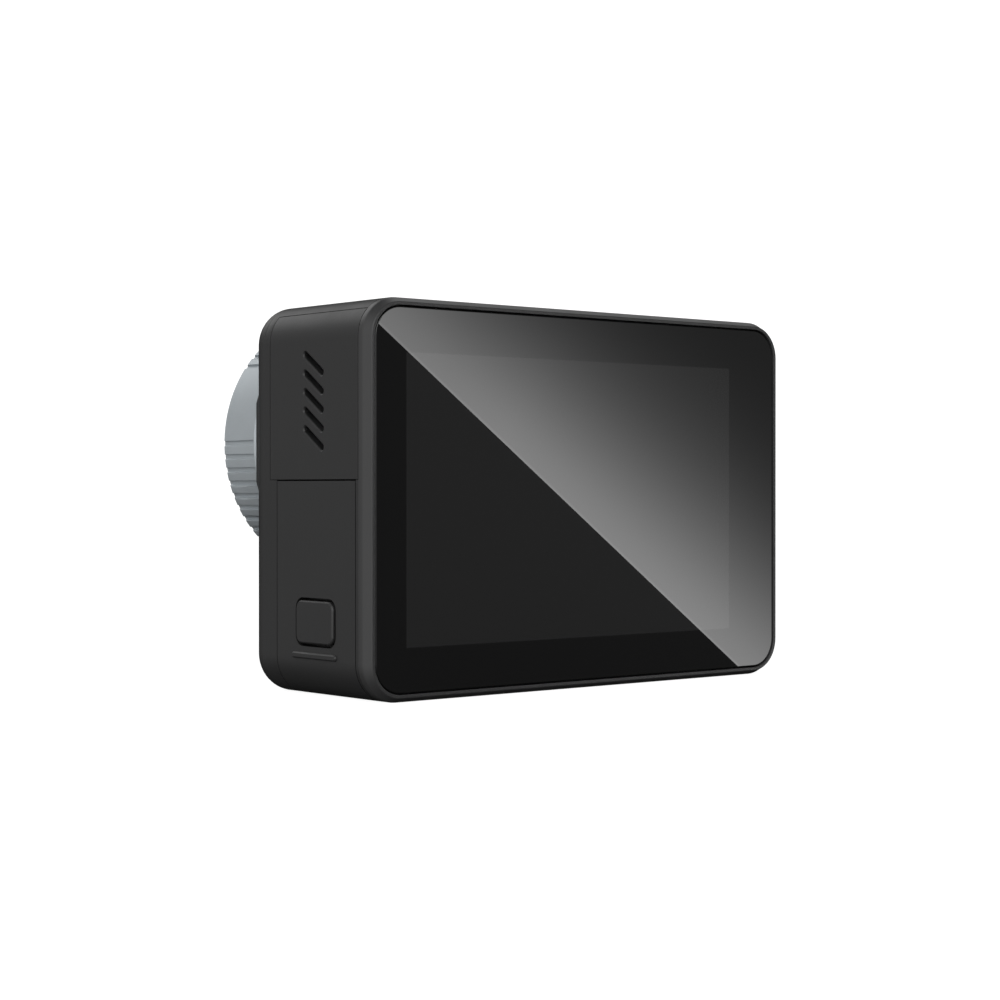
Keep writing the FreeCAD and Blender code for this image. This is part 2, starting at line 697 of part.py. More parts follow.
def door_gasket():
    """The door's seal: a U of rubber in the groove, open towards the rounded corner."""
    loop = gasket_loop(0, (HALF_W - DOOR_T - GASKET_PROUD, GASKET_GROOVE_X[1] - GASKET_CLEAR))
    above_corner = box((0, HALF_W), grow(DOOR_Y, BEYOND), (GASKET_END_Z + GASKET_PROUD, DOOR_TOP_Z))
    return loop.common(above_corner)


def latch_button():
    """The latch button's cap, with a chamfered face and a flange that keeps it in the door."""
    cap_y = grow(BUTTON_HOLE_Y, -BUTTON_GAP)
    cap_z = grow(BUTTON_HOLE_Z, -BUTTON_GAP)
    cap_x = (BUTTON_FLANGE_X[0], BUTTON_FACE_X)
    cap = rounded_prism("X", cap_y, cap_z, BUTTON_HOLE_R - BUTTON_GAP, cap_x)
    cap = cap.makeChamfer(BUTTON_CHAMFER, edges_at(cap, "X", BUTTON_FACE_X))
    flange_y = grow(BUTTON_HOLE_Y, BUTTON_FLANGE_OVER)
    flange_z = grow(BUTTON_HOLE_Z, BUTTON_FLANGE_OVER)
    return fuse([cap, rounded_prism("X", flange_y, flange_z, BUTTON_HOLE_R, BUTTON_FLANGE_X)])


def latch_bolt():
    """The sliding bolt under the button, with a tip that drops into the keeper."""
    plate = box(BOLT_X, BOLT_Y, BOLT_Z)
    foot = box((BOLT_TIP_X[0], BOLT_X[1]), BOLT_TIP_Y, (BOLT_Z[0], BOLT_Z[0] + BOLT_FOOT_T))
    tip = box(BOLT_TIP_X, BOLT_TIP_Y, (BOLT_TIP_Z, BOLT_Z[0] + BOLT_FOOT_T))
    return fuse([plate, foot, tip])


def latch_springs():
    """The two small coil springs above the bolt, as plain tubes of the coils' size."""
    return [tube("Z", SPRING_X, y, SPRING_R, (BOLT_Z[1], SPRING_TOP_Z)) for y in SPRING_OFFSETS]


# ================================================================ behind the door
def battery_bay():
    """The open-ended box that the battery slides into."""
    inner_y = grow(BATTERY_Y, BAY_CLEAR)
    inner_z = grow(BATTERY_Z, BAY_CLEAR)
    outer = box(BAY_X, grow(inner_y, BAY_WALL), grow(inner_z, BAY_WALL))
    return outer.cut(box((BAY_X[0] + BAY_BACK_T, BAY_X[1] + BEYOND), inner_y, inner_z))


def battery():
    """The battery's case."""
    return rounded_prism("X", BATTERY_Y, BATTERY_Z, BATTERY_R, BATTERY_X)


def battery_pull_tab():
    """The pull tab folded flat on the battery's outer end."""
    across = about((BATTERY_Y[0] + BATTERY_Y[1]) / 2, TAB_HALF_W)
    return rounded_prism("X", across, TAB_Z, TAB_R, (BATTERY_X[1], BATTERY_X[1] + TAB_T))


def battery_contacts():
    """The contact block at the bay's inner end, with three blades."""
    back_x = BAY_X[0] + BAY_BACK_T
    face_x = back_x + CONTACT_BLOCK_T
    block = box((back_x, face_x), CONTACT_BLOCK_Y, CONTACT_BLOCK_Z)
    blade_x = (face_x - MERGE, BATTERY_X[0])
    blades = [box(blade_x, about(y, CONTACT_BLADE_HALF), CONTACT_BLADE_Z) for y in CONTACT_BLADES_Y]
    return fuse([block] + blades)


def usb_port():
    """The USB-C socket: a thin oval shell with a flat tongue inside."""
    shell = rounded_prism("X", USB_Y, USB_Z, USB_R, USB_X)
    room_x = (USB_X[0] + USB_BACK_T, USB_X[1] + BEYOND)
    room_y = grow(USB_Y, -USB_SHELL_T)
    room_z = grow(USB_Z, -USB_SHELL_T)
    room = rounded_prism("X", room_y, room_z, USB_R - USB_SHELL_T, room_x)
    tongue_x = (room_x[0] - MERGE, USB_X[1] - USB_TONGUE_SET_BACK)
    tongue_y = about((USB_Y[0] + USB_Y[1]) / 2, USB_TONGUE_HALF[0])
    tongue_z = about((USB_Z[0] + USB_Z[1]) / 2, USB_TONGUE_HALF[1])
    return fuse([shell.cut(room), box(tongue_x, tongue_y, tongue_z)])


def usb_board():
    """The small board that the USB-C socket is soldered to."""
    return box(USB_BOARD_X, USB_BOARD_Y, USB_BOARD_Z)


def memory_card():
    """The memory card, with the notch in one long edge."""
    card = box(CARD_X, CARD_Y, CARD_Z)
    notch = box(CARD_NOTCH_X, CARD_Y, (CARD_Z[1] - CARD_NOTCH_DEPTH, CARD_Z[1]))
    rim_x = (CARD_X[1] - CARD_RIM_W, CARD_X[1])
    rim_y = (CARD_Y[0] - CARD_RIM_PROUD, CARD_Y[0] + MERGE)
    return fuse([card.cut(notch), box(rim_x, rim_y, grow(CARD_Z, -CARD_RIM_INSET))])


def card_socket():
    """The push-push card socket: a flat metal sleeve round the card."""
    room_x = (CARD_X[0] - CARD_TRAVEL_ROOM, SOCKET_FACE_X + BEYOND)
    outer_x = (room_x[0] - SOCKET_T, SOCKET_FACE_X)
    outer_y = (CARD_Y[0] - CARD_CLEAR - SOCKET_T, BOARD_Y[0])
    outer = box(outer_x, outer_y, grow(CARD_Z, SOCKET_OVER))
    return outer.cut(box(room_x, grow(CARD_Y, CARD_CLEAR), grow(CARD_Z, CARD_CLEAR)))


# ================================================================ lens
def grip_grooves():
    """The finger grooves of the ring: equal groups, with a smooth stretch between them."""
    length = (RING_FRONT_Y - BEYOND, GRIP_END_Y)
    depth = (RING_R - GRIP_DEPTH, RING_R + BEYOND)
    groove = box(depth, length, about(0, GRIP_WIDTH / 2))
    grooves = []
    for group in range(GRIP_GROUPS):
        for index in range(GRIP_GROOVES):
            angle = GRIP_FIRST_DEG + group * 360.0 / GRIP_GROUPS - index * GRIP_PITCH_DEG
            turned = groove.copy()
            turned.rotate(Vector(0, 0, 0), Vector(0, -1, 0), angle)
            turned.translate(Vector(LENS_X, 0, LENS_Z))
            grooves.append(turned)
    return grooves


def lens_ring():
    """The knurled ring that screws onto the collar and holds the protective glass."""
    ring = lens_rod(RING_R, (RING_FRONT_Y, RING_BACK_Y))
    ring = ring.makeChamfer(RING_CHAMFER, edges_at(ring, "Y", RING_BACK_Y))
    ring = ring.makeChamfer(RING_FRONT_CHAMFER, edges_at(ring, "Y", RING_FRONT_Y))
    bore = lens_rod(RING_BORE_R, (RING_SEAT_Y, RING_BACK_Y + BEYOND))
    seat = lens_rod(RING_SEAT_R, (GLASS_DISC_Y[0] - LENS_CLEAR, RING_BACK_Y))
    mouth = lens_rod(RING_MOUTH_R, (RING_FRONT_Y - BEYOND, RING_BACK_Y))
    flare = lens_cone(RING_FLARE_R, RING_MOUTH_R, (RING_FRONT_Y, RING_FRONT_Y + RING_FLARE_DEPTH))
    ring = cut_all(ring, [bore, seat, mouth, flare])
    return ring.cut(Part.makeCompound(grip_grooves()))


def ring_glass():
    """The flat protective glass in the ring."""
    disc = lens_rod(GLASS_DISC_R, GLASS_DISC_Y)
    return disc.makeChamfer(GLASS_DISC_CHAMFER, edges_at(disc, "Y", GLASS_DISC_Y[0]))


def lens_collar():
    """The threaded metal collar that the ring screws onto, flanged behind the front cover."""
    back_y = FRONT_INNER_Y + COLLAR_FLANGE_T
    outer = lens_rod(COLLAR_R[1], (COLLAR_FRONT_Y, back_y))
    outer = outer.makeChamfer(COLLAR_CHAMFER, edges_at(outer, "Y", COLLAR_FRONT_Y))
    flange = lens_rod(COLLAR_FLANGE_R, (FRONT_INNER_Y, back_y))
    bore = lens_rod(COLLAR_R[0], (COLLAR_FRONT_Y - BEYOND, back_y + BEYOND))
    return fuse([outer, flange]).cut(bore)


def lens_barrel():
    """The stepped barrel that holds the lens elements."""
    spans = zip(BARREL_Y, BARREL_Y[1:])
    barrel = fuse([lens_rod(radius, span) for radius, span in zip(BARREL_R, spans)])
    start = BARREL_Y[0]
    bores = [lens_rod(radius, (start - BEYOND, end)) for radius, end in BARREL_BORES]
    mouth_r = BARREL_R[0] - BARREL_RIM_T
    rim = lens_cone(mouth_r, BARREL_BORES[0][0] - MERGE, (start, start + BARREL_RIM_DEPTH))
    return cut_all(barrel, bores + [rim])


def dome(radius, crown, span):
    """A lens element: a disc whose -Y face bulges forward by `crown`."""
    sphere_r = (radius * radius + crown * crown) / (2 * crown)
    disc = lens_rod(radius, (span[0] - crown, span[1]))
    ball = Part.makeSphere(sphere_r, Vector(LENS_X, span[0] - crown + sphere_r, LENS_Z))
    return disc.common(ball)


def front_lens():
    """The wide front element."""
    bore_r, bore_end_y = BARREL_BORES[0]
    return dome(bore_r - LENS_CLEAR, FRONT_LENS_CROWN, (FRONT_LENS_EDGE_Y, bore_end_y))


def inner_lenses():
    """The smaller elements behind it."""
    middle = dome(BARREL_BORES[1][0] - LENS_CLEAR, MIDDLE_LENS_CROWN, MIDDLE_LENS_Y)
    rear = dome(BARREL_BORES[2][0] - LENS_CLEAR, REAR_LENS_CROWN, REAR_LENS_Y)
    return [middle, rear]


def lens_gasket():
    """The O-ring between the collar and the barrel."""
    radii = (BARREL_R[0] + LENS_CLEAR, COLLAR_R[0] - LENS_CLEAR)
    return tube("Y", LENS_X, LENS_Z, radii, LENS_GASKET_Y)


def lens_holder():
    """The moulded holder between the barrel and the sensor board."""
    neck = lens_rod(HOLDER_NECK_R, HOLDER_NECK_Y)
    holder = fuse([neck, lens_plate((HOLDER_HALF, HOLDER_HALF), HOLDER_Y)])
    barrel_room = lens_rod(BARREL_R[2] + LENS_CLEAR, (HOLDER_NECK_Y[0] - BEYOND, HOLDER_FLOOR_Y))
    sensor_room = lens_plate(HOLDER_ROOM_HALF, (HOLDER_FLOOR_Y, HOLDER_Y[1] + BEYOND))
    return cut_all(holder, [barrel_room, sensor_room])


def lens_plate(halves, span):
    """A flat rectangle centred on the lens axis, from half its width and half its height."""
    return box(about(LENS_X, halves[0]), span, about(LENS_Z, halves[1]))


def sensor_flex():
    """The flat cable from the sensor board, folded back to the main board."""
    near_y = SENSOR_BOARD_Y[1] + FLEX_GAP
    far_y = BOARD_Y[0] - FLEX_GAP
    points = (
        (near_y, FLEX_FOOT_Z),
        (near_y + FLEX_T, FLEX_FOOT_Z),
        (near_y + FLEX_T, FLEX_FOLD_Z),
        (far_y - FLEX_T, FLEX_FOLD_Z),
        (far_y - FLEX_T, FLEX_FOOT_Z),
        (far_y, FLEX_FOOT_Z),
        (far_y, FLEX_FOLD_Z + FLEX_T),
        (near_y, FLEX_FOLD_Z + FLEX_T),
    )
    return prism("X", points, about(LENS_X, FLEX_HALF_W))


# ================================================================ electronics
def chassis_plate():
    """The metal plate that the boards, bay and lens are mounted to, with the board posts."""
    plate = case_prism(LEDGE_INSET + CHASSIS_CLEAR, CHASSIS_Y)
    post_y = (CHASSIS_Y[1] - MERGE, BOARD_Y[0])
    posts = [rod("Y", x, z, BOARD_POST_R, post_y) for x, z in BOARD_SCREWS]
    plate = fuse([plate] + posts)
    through = grow(CHASSIS_Y, BEYOND)
    thread_y = (BOARD_Y[0] - BOARD_THREAD_DEPTH, BOARD_Y[0] + BEYOND)
    holes = [rod("Y", x, z, SCREW_CLEAR_R, through) for x, z in CASE_SCREWS]
    threads = [rod("Y", x, z, BOARD_THREAD_R, thread_y) for x, z in BOARD_SCREWS]
    slots = [box(CHASSIS_SLOT_X, through, (z, z + CHASSIS_SLOT_H)) for z in CHASSIS_SLOTS_Z]
    return cut_all(plate, holes + threads + slots + [lens_rod(CHASSIS_LENS_R, through)])


def main_board():
    """The main circuit board behind the screen."""
    board = rounded_prism("Y", BOARD_X, BOARD_Z, BOARD_R, BOARD_Y)
    through = grow(BOARD_Y, BEYOND)
    return cut_all(board, [rod("Y", x, z, BOARD_HOLE_R, through) for x, z in BOARD_SCREWS])


def shield_can():
    """The folded metal can over the processor."""
    outer = box(SHIELD_X, (SHIELD_Y, BOARD_Y[0]), SHIELD_Z)
    room_y = (SHIELD_Y + SHIELD_T, BOARD_Y[0] + BEYOND)
    return outer.cut(box(grow(SHIELD_X, -SHIELD_T), room_y, grow(SHIELD_Z, -SHIELD_T)))


def memory_chips():
    """The two memory chips on the main board."""
    depth = (MEMORY_Y, BOARD_Y[0])
    return [box(MEMORY_X, depth, (z, z + MEMORY_H)) for z in MEMORY_FROM_Z]


def screw(x, z, head_y, tip_y, head_r, shank_r):
    """A pan-head screw along Y with a cross recess, driven from the +Y side."""
    top_y = head_y + SCREW_HEAD_H
    head = rod("Y", x, z, head_r, (head_y, top_y))
    shank = rod("Y", x, z, shank_r, (tip_y, head_y + MERGE))
    arm = head_r * SCREW_RECESS_SHARE
    recess_y = (top_y - SCREW_HEAD_H / 2, top_y + BEYOND)
    across = box(about(x, arm), recess_y, about(z, SCREW_RECESS_HALF))
    upright = box(about(x, SCREW_RECESS_HALF), recess_y, about(z, arm))
    return cut_all(fuse([head, shank]), [across, upright])


def case_screws():
    """The four screws that clamp the ledge and the chassis to the front cover."""
    shank_r = SCREW_R - SCREW_CLEAR
    return [screw(x, z, LEDGE_Y[1], SCREW_TIP_Y, SCREW_HEAD_R, shank_r) for x, z in CASE_SCREWS]


def board_screws():
    """The two screws of the main board."""
    tip_y = BOARD_Y[0] - BOARD_SCREW_LENGTH
    radii = (BOARD_SCREW_HEAD_R, BOARD_SCREW_R)
    return [screw(x, z, BOARD_Y[1], tip_y, *radii) for x, z in BOARD_SCREWS]


def microphone_pair(halves, near, far):
    """A flat block behind the front holes and one under the top holes, from `near` to `far` inside."""
    front_y = (FRONT_INNER_Y + near, FRONT_INNER_Y + far)
    top_z = (TOP_INNER_Z - far, TOP_INNER_Z - near)
    front = box(about(MIC_X, halves[0]), front_y, about(MIC_Z, halves[1]))
    top = box(about(TOP_MIC_X, halves[0]), about(TOP_BUTTON_Y, halves[1]), top_z)
    return [front, top]


def microphones():
    """The front and top microphones."""
    near, far = MIC_GAP, MIC_GAP + MIC_T
    return microphone_pair(MIC_HALF, near, far)


def mic_meshes():
    """The thin acoustic meshes behind the microphone holes."""
    near, far = MIC_MESH_DEPTH
    return microphone_pair(MIC_MESH_HALF, near, far)


def status_light():
    """The light pipe in the front cover, flush with its face."""
    back_y = FRONT_INNER_Y + LIGHT_FLANGE_T
    pipe = rod("Y", LIGHT_X, MIC_Z, LIGHT_R, (FRONT_Y + LIGHT_SET_BACK, back_y))
    flange_y = (FRONT_INNER_Y + LIGHT_SET_BACK, back_y)
    return fuse([pipe, rod("Y", LIGHT_X, MIC_Z, LIGHT_R + LIGHT_FLANGE, flange_y)])


def front_glass():
    """The flush glass over the small front screen."""
    x0, x1, z0, z1 = FRONT_GLASS
    span = (FRONT_Y + FRONT_GLASS_SET_BACK, FRONT_Y + FRONT_GLASS_T)
    return rounded_prism("Y", (x0, x1), (z0, z1), FRONT_GLASS_R, span)


def front_display():
    """The small screen behind the front glass."""
    x0, x1, z0, z1 = FRONT_WINDOW
    span = (FRONT_Y + FRONT_GLASS_T + FRONT_DISPLAY_GAP, CHASSIS_Y[0] - FRONT_DISPLAY_BACK_GAP)
    return box(grow((x0, x1), -FRONT_DISPLAY_GAP), span, grow((z0, z1), -FRONT_DISPLAY_GAP))


def speaker():
    """The speaker: a flat box with rounded corners, facing the slots."""
    body = rounded_prism("X", SPEAKER_Y, SPEAKER_Z, SPEAKER_R, SPEAKER_X)
    return body.makeChamfer(SPEAKER_CHAMFER, edges_at(body, "X", SPEAKER_X[1]))


def speaker_mesh():
    """The dust mesh between the speaker and the slots."""
    return box(MESH_X, grow((SLOT_FROM[0], SLOT_TO[0]), MESH_OVER), MESH_Z)


# ================================================================ controls and base
def top_button(x, radius, chamfer):
    """A round button in the top: cap, flange below the wall, and stem down to its switch."""
    cap = rod("Z", x, TOP_BUTTON_Y, radius, (TOP_FLANGE_Z[0], TOP_BUTTON_Z[1]))
    cap = cap.makeChamfer(chamfer, edges_at(cap, "Z", TOP_BUTTON_Z[1]))
    flange = rod("Z", x, TOP_BUTTON_Y, radius + TOP_FLANGE_OVER, TOP_FLANGE_Z)
    stem = rod("Z", x, TOP_BUTTON_Y, TOP_STEM_R, (TOP_STEM_Z, TOP_FLANGE_Z[0] + MERGE))
    return fuse([cap, flange, stem])


def button_seals():
    """The seals round the two top buttons, just inside their holes."""
    low, high = (HEIGHT - depth for depth in BUTTON_SEAL_DEPTH)
    seals = []
    for x, radius in ((SHUTTER_X, SHUTTER_R), (POWER_X, POWER_R)):
        radii = (radius + BUTTON_SEAL_CLEAR, radius + TOP_BUTTON_GAP)
        seals.append(tube("Z", x, TOP_BUTTON_Y, radii, (low, high)))
    return seals


def tactile_switches():
    """The dome switches under the two top buttons."""
    switches = []
    for x in (SHUTTER_X, POWER_X):
        base = box(about(x, SWITCH_HALF), about(TOP_BUTTON_Y, SWITCH_HALF), SWITCH_Z)
        plunger_z = (SWITCH_Z[1] - MERGE, SWITCH_Z[1] + PLUNGER_RISE)
        plunger = rod("Z", x, TOP_BUTTON_Y, PLUNGER_R, plunger_z)
        switches.append(fuse([base, plunger]))
    return switches


def button_board():
    """The small board under the dome switches."""
    return box(BUTTON_BOARD_X, BUTTON_BOARD_Y, (SWITCH_Z[0] - BUTTON_BOARD_T, SWITCH_Z[0]))


def tripod_insert():
    """The metal insert with the tripod thread's hole."""
    radii = (TRIPOD_HOLE_R, TRIPOD_INSERT_R - TRIPOD_INSERT_CLEAR)
    return tube("Z", TRIPOD_X, MID_Y, radii, grow((0, TRIPOD_INSERT_H), -TRIPOD_INSERT_GAP))


def antenna():
    """The flat antenna on the inside of the plain side wall."""
    near_x = -HALF_W + WALL + ANTENNA_GAP
    return box((near_x, near_x + ANTENNA_T), ANTENNA_Y, ANTENNA_Z)


# ================================================================ the assembly
def pieces():
    """Every node's name with its solid, or with its group of separate solids."""
    return {
        "front_cover": front_cover(),
        "case_gasket": case_gasket(),
        "main_housing": main_housing(),
        "rear_bezel": rear_bezel(),
        "cover_glass": cover_glass(),
        "screen_adhesive": screen_adhesive(),
        "lcd_panel": screen_layer(LCD_Y, 0),
        "backlight": screen_layer(BACKLIGHT_Y, BACKLIGHT_INSET),
        "side_panel": side_panel(),
        "speaker_mesh": speaker_mesh(),
        "speaker": speaker(),
        "battery_door": battery_door(),
        "door_gasket": door_gasket(),
        "door_hinge_pin": rod("Y", HINGE_X, HINGE_Z, PIN_R - PIN_CLEAR, grow(PIN_Y, -PIN_CLEAR)),
        "latch_button": latch_button(),
        "latch_bolt": latch_bolt(),
        "latch_springs": latch_springs(),
        "battery_bay": battery_bay(),
        "battery": battery(),
        "battery_pull_tab": battery_pull_tab(),
        "battery_contacts": battery_contacts(),
        "usb_port": usb_port(),
        "usb_board": usb_board(),
        "memory_card": memory_card(),
        "card_socket": card_socket(),
        "lens_ring": lens_ring(),
        "ring_glass": ring_glass(),
        "ring_seal": tube("Y", LENS_X, LENS_Z, SEAL_R, SEAL_Y),
        "lens_collar": lens_collar(),
        "lens_barrel": lens_barrel(),
        "front_lens": front_lens(),
        "inner_lenses": inner_lenses(),
        "lens_gasket": lens_gasket(),
        "lens_holder": lens_holder(),
        "ir_filter": lens_plate(FILTER_HALF, FILTER_Y),
        "image_sensor": lens_plate(SENSOR_HALF, SENSOR_Y),
        "sensor_board": lens_plate(SENSOR_BOARD_HALF, SENSOR_BOARD_Y),
        "sensor_flex": sensor_flex(),
        "chassis_plate": chassis_plate(),
        "main_board": main_board(),
        "processor_chip": box(PROCESSOR_X, (PROCESSOR_Y, BOARD_Y[0]), PROCESSOR_Z),
        "memory_chips": memory_chips(),
        "shield_can": shield_can(),
        "heat_spreader": box(SPREADER_X, SPREADER_Y, SPREADER_Z),
        "case_screws": case_screws(),
        "board_screws": board_screws(),
        "microphones": microphones(),
        "mic_meshes": mic_meshes(),
        "status_light": status_light(),
        "front_glass": front_glass(),
        "front_display": front_display(),
        "shutter_button": top_button(SHUTTER_X, SHUTTER_R, SHUTTER_CHAMFER),
        "power_button": top_button(POWER_X, POWER_R, POWER_CHAMFER),
        "button_seals": button_seals(),
        "tactile_switches": tactile_switches(),
        "button_board": button_board(),
        "tripod_insert": tripod_insert(),
        "antenna": antenna(),
    }


def main():
    """Write one STEP file for each node."""
    os.makedirs("parts", exist_ok=True)
    for name, shape in pieces().items():
        solids = shape if isinstance(shape, list) else [shape]
        whole = solids[0] if len(solids) == 1 else Part.makeCompound(solids)
        whole.translate(Vector(-CENTRE_X, -CENTRE_Y, 0))
        whole.exportStep(f"parts/{name}.step")
        valid = all(s.isValid() for s in solids)
        print(f"{name}: {len(whole.Solids)} solid, {whole.Volume:.1f} mm3, valid {valid}")


main()
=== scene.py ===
import bmesh
import bpy
import json
import math
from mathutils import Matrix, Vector


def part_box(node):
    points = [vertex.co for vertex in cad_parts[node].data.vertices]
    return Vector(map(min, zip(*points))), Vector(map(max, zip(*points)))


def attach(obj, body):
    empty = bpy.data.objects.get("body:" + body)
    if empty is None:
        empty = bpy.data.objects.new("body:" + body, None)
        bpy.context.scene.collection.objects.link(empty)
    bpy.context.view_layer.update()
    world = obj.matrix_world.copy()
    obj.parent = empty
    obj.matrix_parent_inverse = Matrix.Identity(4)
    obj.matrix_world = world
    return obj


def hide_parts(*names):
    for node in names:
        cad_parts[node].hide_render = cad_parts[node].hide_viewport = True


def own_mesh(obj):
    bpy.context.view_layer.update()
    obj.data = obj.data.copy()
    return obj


# The looks of the action camera. Lengths are in millimetres until MM turns them into metres.
MM = 0.001

# ---- the camera that looks at the object
EYE = Vector((155.225, 183.72, 21.67)) * MM
EYE_HEADING_DEG = 180 - 40.112
EYE_TILT_DEG = -0.314
EYE_LENS = 76.08
EYE_SENSOR = 36.0

# ---- the studio: each patch has a direction, an inner and an outer angle, and a brightness
BACKDROP_SHINE = 1.2
FLOOR_SHINE = 0.94
FLOOR_REACH = 3.0
ROOM_GLOW = 0.325
FLOOR_GLOW = 0.08
FLOOR_EDGE_DEG = (62, 94)
DARK_PATCHES = (
    ((-0.644, -0.765, 0.0), 25, 70, 0.04),
    ((-0.68, 0.73, 0.0), 20, 50, 0.35),
    ((0.0, 0.0, 1.0), 15, 40, 0.04),
)
BRIGHT_PATCHES = (
    ((0.06, -0.76, 0.65), 10, 27, 1.25),
    ((-0.6, -0.4, 0.7), 8, 24, 0.6),
    ((1.0, 0.05, 0.1), 10, 60, 0.62),
    ((0.45, 0.8, 0.4), 10, 40, 2.1),
)

# ---- the soft light panel that the screen mirrors
PANEL_DISTANCE = 0.28
PANEL_START = (0.9955, 0.954)
PANEL_END = (0.096, -0.001)
PANEL_PEAK = (3.6, 3.95)
PANEL_PEAK_ALONG = (10.0, 20.0)
PANEL_FADE = (9.7, 11.3)
PANEL_FADE_ALONG = (0.0, 52.0)
PANEL_FADE_POWER = 1.5
PANEL_REST = 0.2
PANEL_RIM = (1.0, 0.35)

# ---- the dark border between each display's outline and its lit area
LIT_MARGIN_NEAR = 1.27
LIT_MARGIN_FAR = 1.98
LIT_MARGIN_UP = 2.05
FRONT_MARGIN = 0.8

# ---- rounding of the edges of the CAD pieces
CASE_EDGE = 0.06
PANEL_EDGE = 0.045
SMALL_EDGE = 0.05
TINY_EDGE = 0.03
EDGE_ANGLE_DEG = 28
FLAT_ANGLE_DEG = 0.3
WELD_GAP = 0.002

# ---- the back frame: depth below its back face at each inset from its side
SOFT = 0.02
BEZEL_CORNER = 4.1
GLASS_GAP = 0.1
GLUE_DEPTH = 0.13
WINDOW_OVER = 0.5
WINDOW_CORNER = 0.3
CHAMFER_OUTLINE = (
    (0.0, 1.06),
    (0.02, 0.97),
    (0.05, 0.88),
    (0.12, 0.76),
    (0.42, 0.16),
    (0.45, 0.08),
    (0.49, 0.02),
    (0.53, 0.0),
    (0.58, 0.0),
)

# ---- pieces turned, coiled or woven here
MESH_WIRE = 0.04
MESH_PITCH = 0.32
EDGE = 0.08
TURNED_POINTS = 96
SPRING_WIRE = 0.07
SPRING_TURNS = 8
SPRING_STEPS = 20
WIRE_SIDES = 8
COLLAR_STEP = 0.3
COLLAR_WALL = 2.7
COLLAR_FLANGE = 0.6
COLLAR_PLAIN = 0.4
COLLAR_TOOTH = 0.3
COLLAR_PITCH = 0.75
TRIPOD_CREST_R = 2.55
TRIPOD_TOOTH = 0.6
TRIPOD_MOUTH = 0.5
TRIPOD_PITCH = 1.27
TOOTH_SHARES = (0.06, 0.44, 0.56, 0.94)
GROOVE_DEPTH = 0.25
GROOVE_HALF = (0.25, 0.4)
CAP_LIP = 0.6
CAP_ROUND = 0.35
CAP_RIM = 0.25
CAP_DISH = 0.22
CAP_STEM_R = 1.0
CAP_FLANGE_Z = (38.6, 39.2)
ROUND_STEPS = 4
DISH_STEPS = 8

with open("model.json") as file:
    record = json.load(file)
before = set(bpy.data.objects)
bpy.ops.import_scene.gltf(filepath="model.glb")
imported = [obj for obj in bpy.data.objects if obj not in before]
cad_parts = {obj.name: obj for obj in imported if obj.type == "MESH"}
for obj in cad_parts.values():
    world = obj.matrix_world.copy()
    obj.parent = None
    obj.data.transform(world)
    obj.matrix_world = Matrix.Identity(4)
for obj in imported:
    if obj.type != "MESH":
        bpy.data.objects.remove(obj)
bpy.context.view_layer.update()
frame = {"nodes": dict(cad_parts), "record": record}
NODES = frame["nodes"]
BODIES = frame["record"]["behaviour"]["bodies"]
BODY_OF = {node: body for body, nodes in BODIES.items() for node in nodes}
SLOT_OF = {part["node"]: part["material_slot"] for part in frame["record"]["subparts"]}


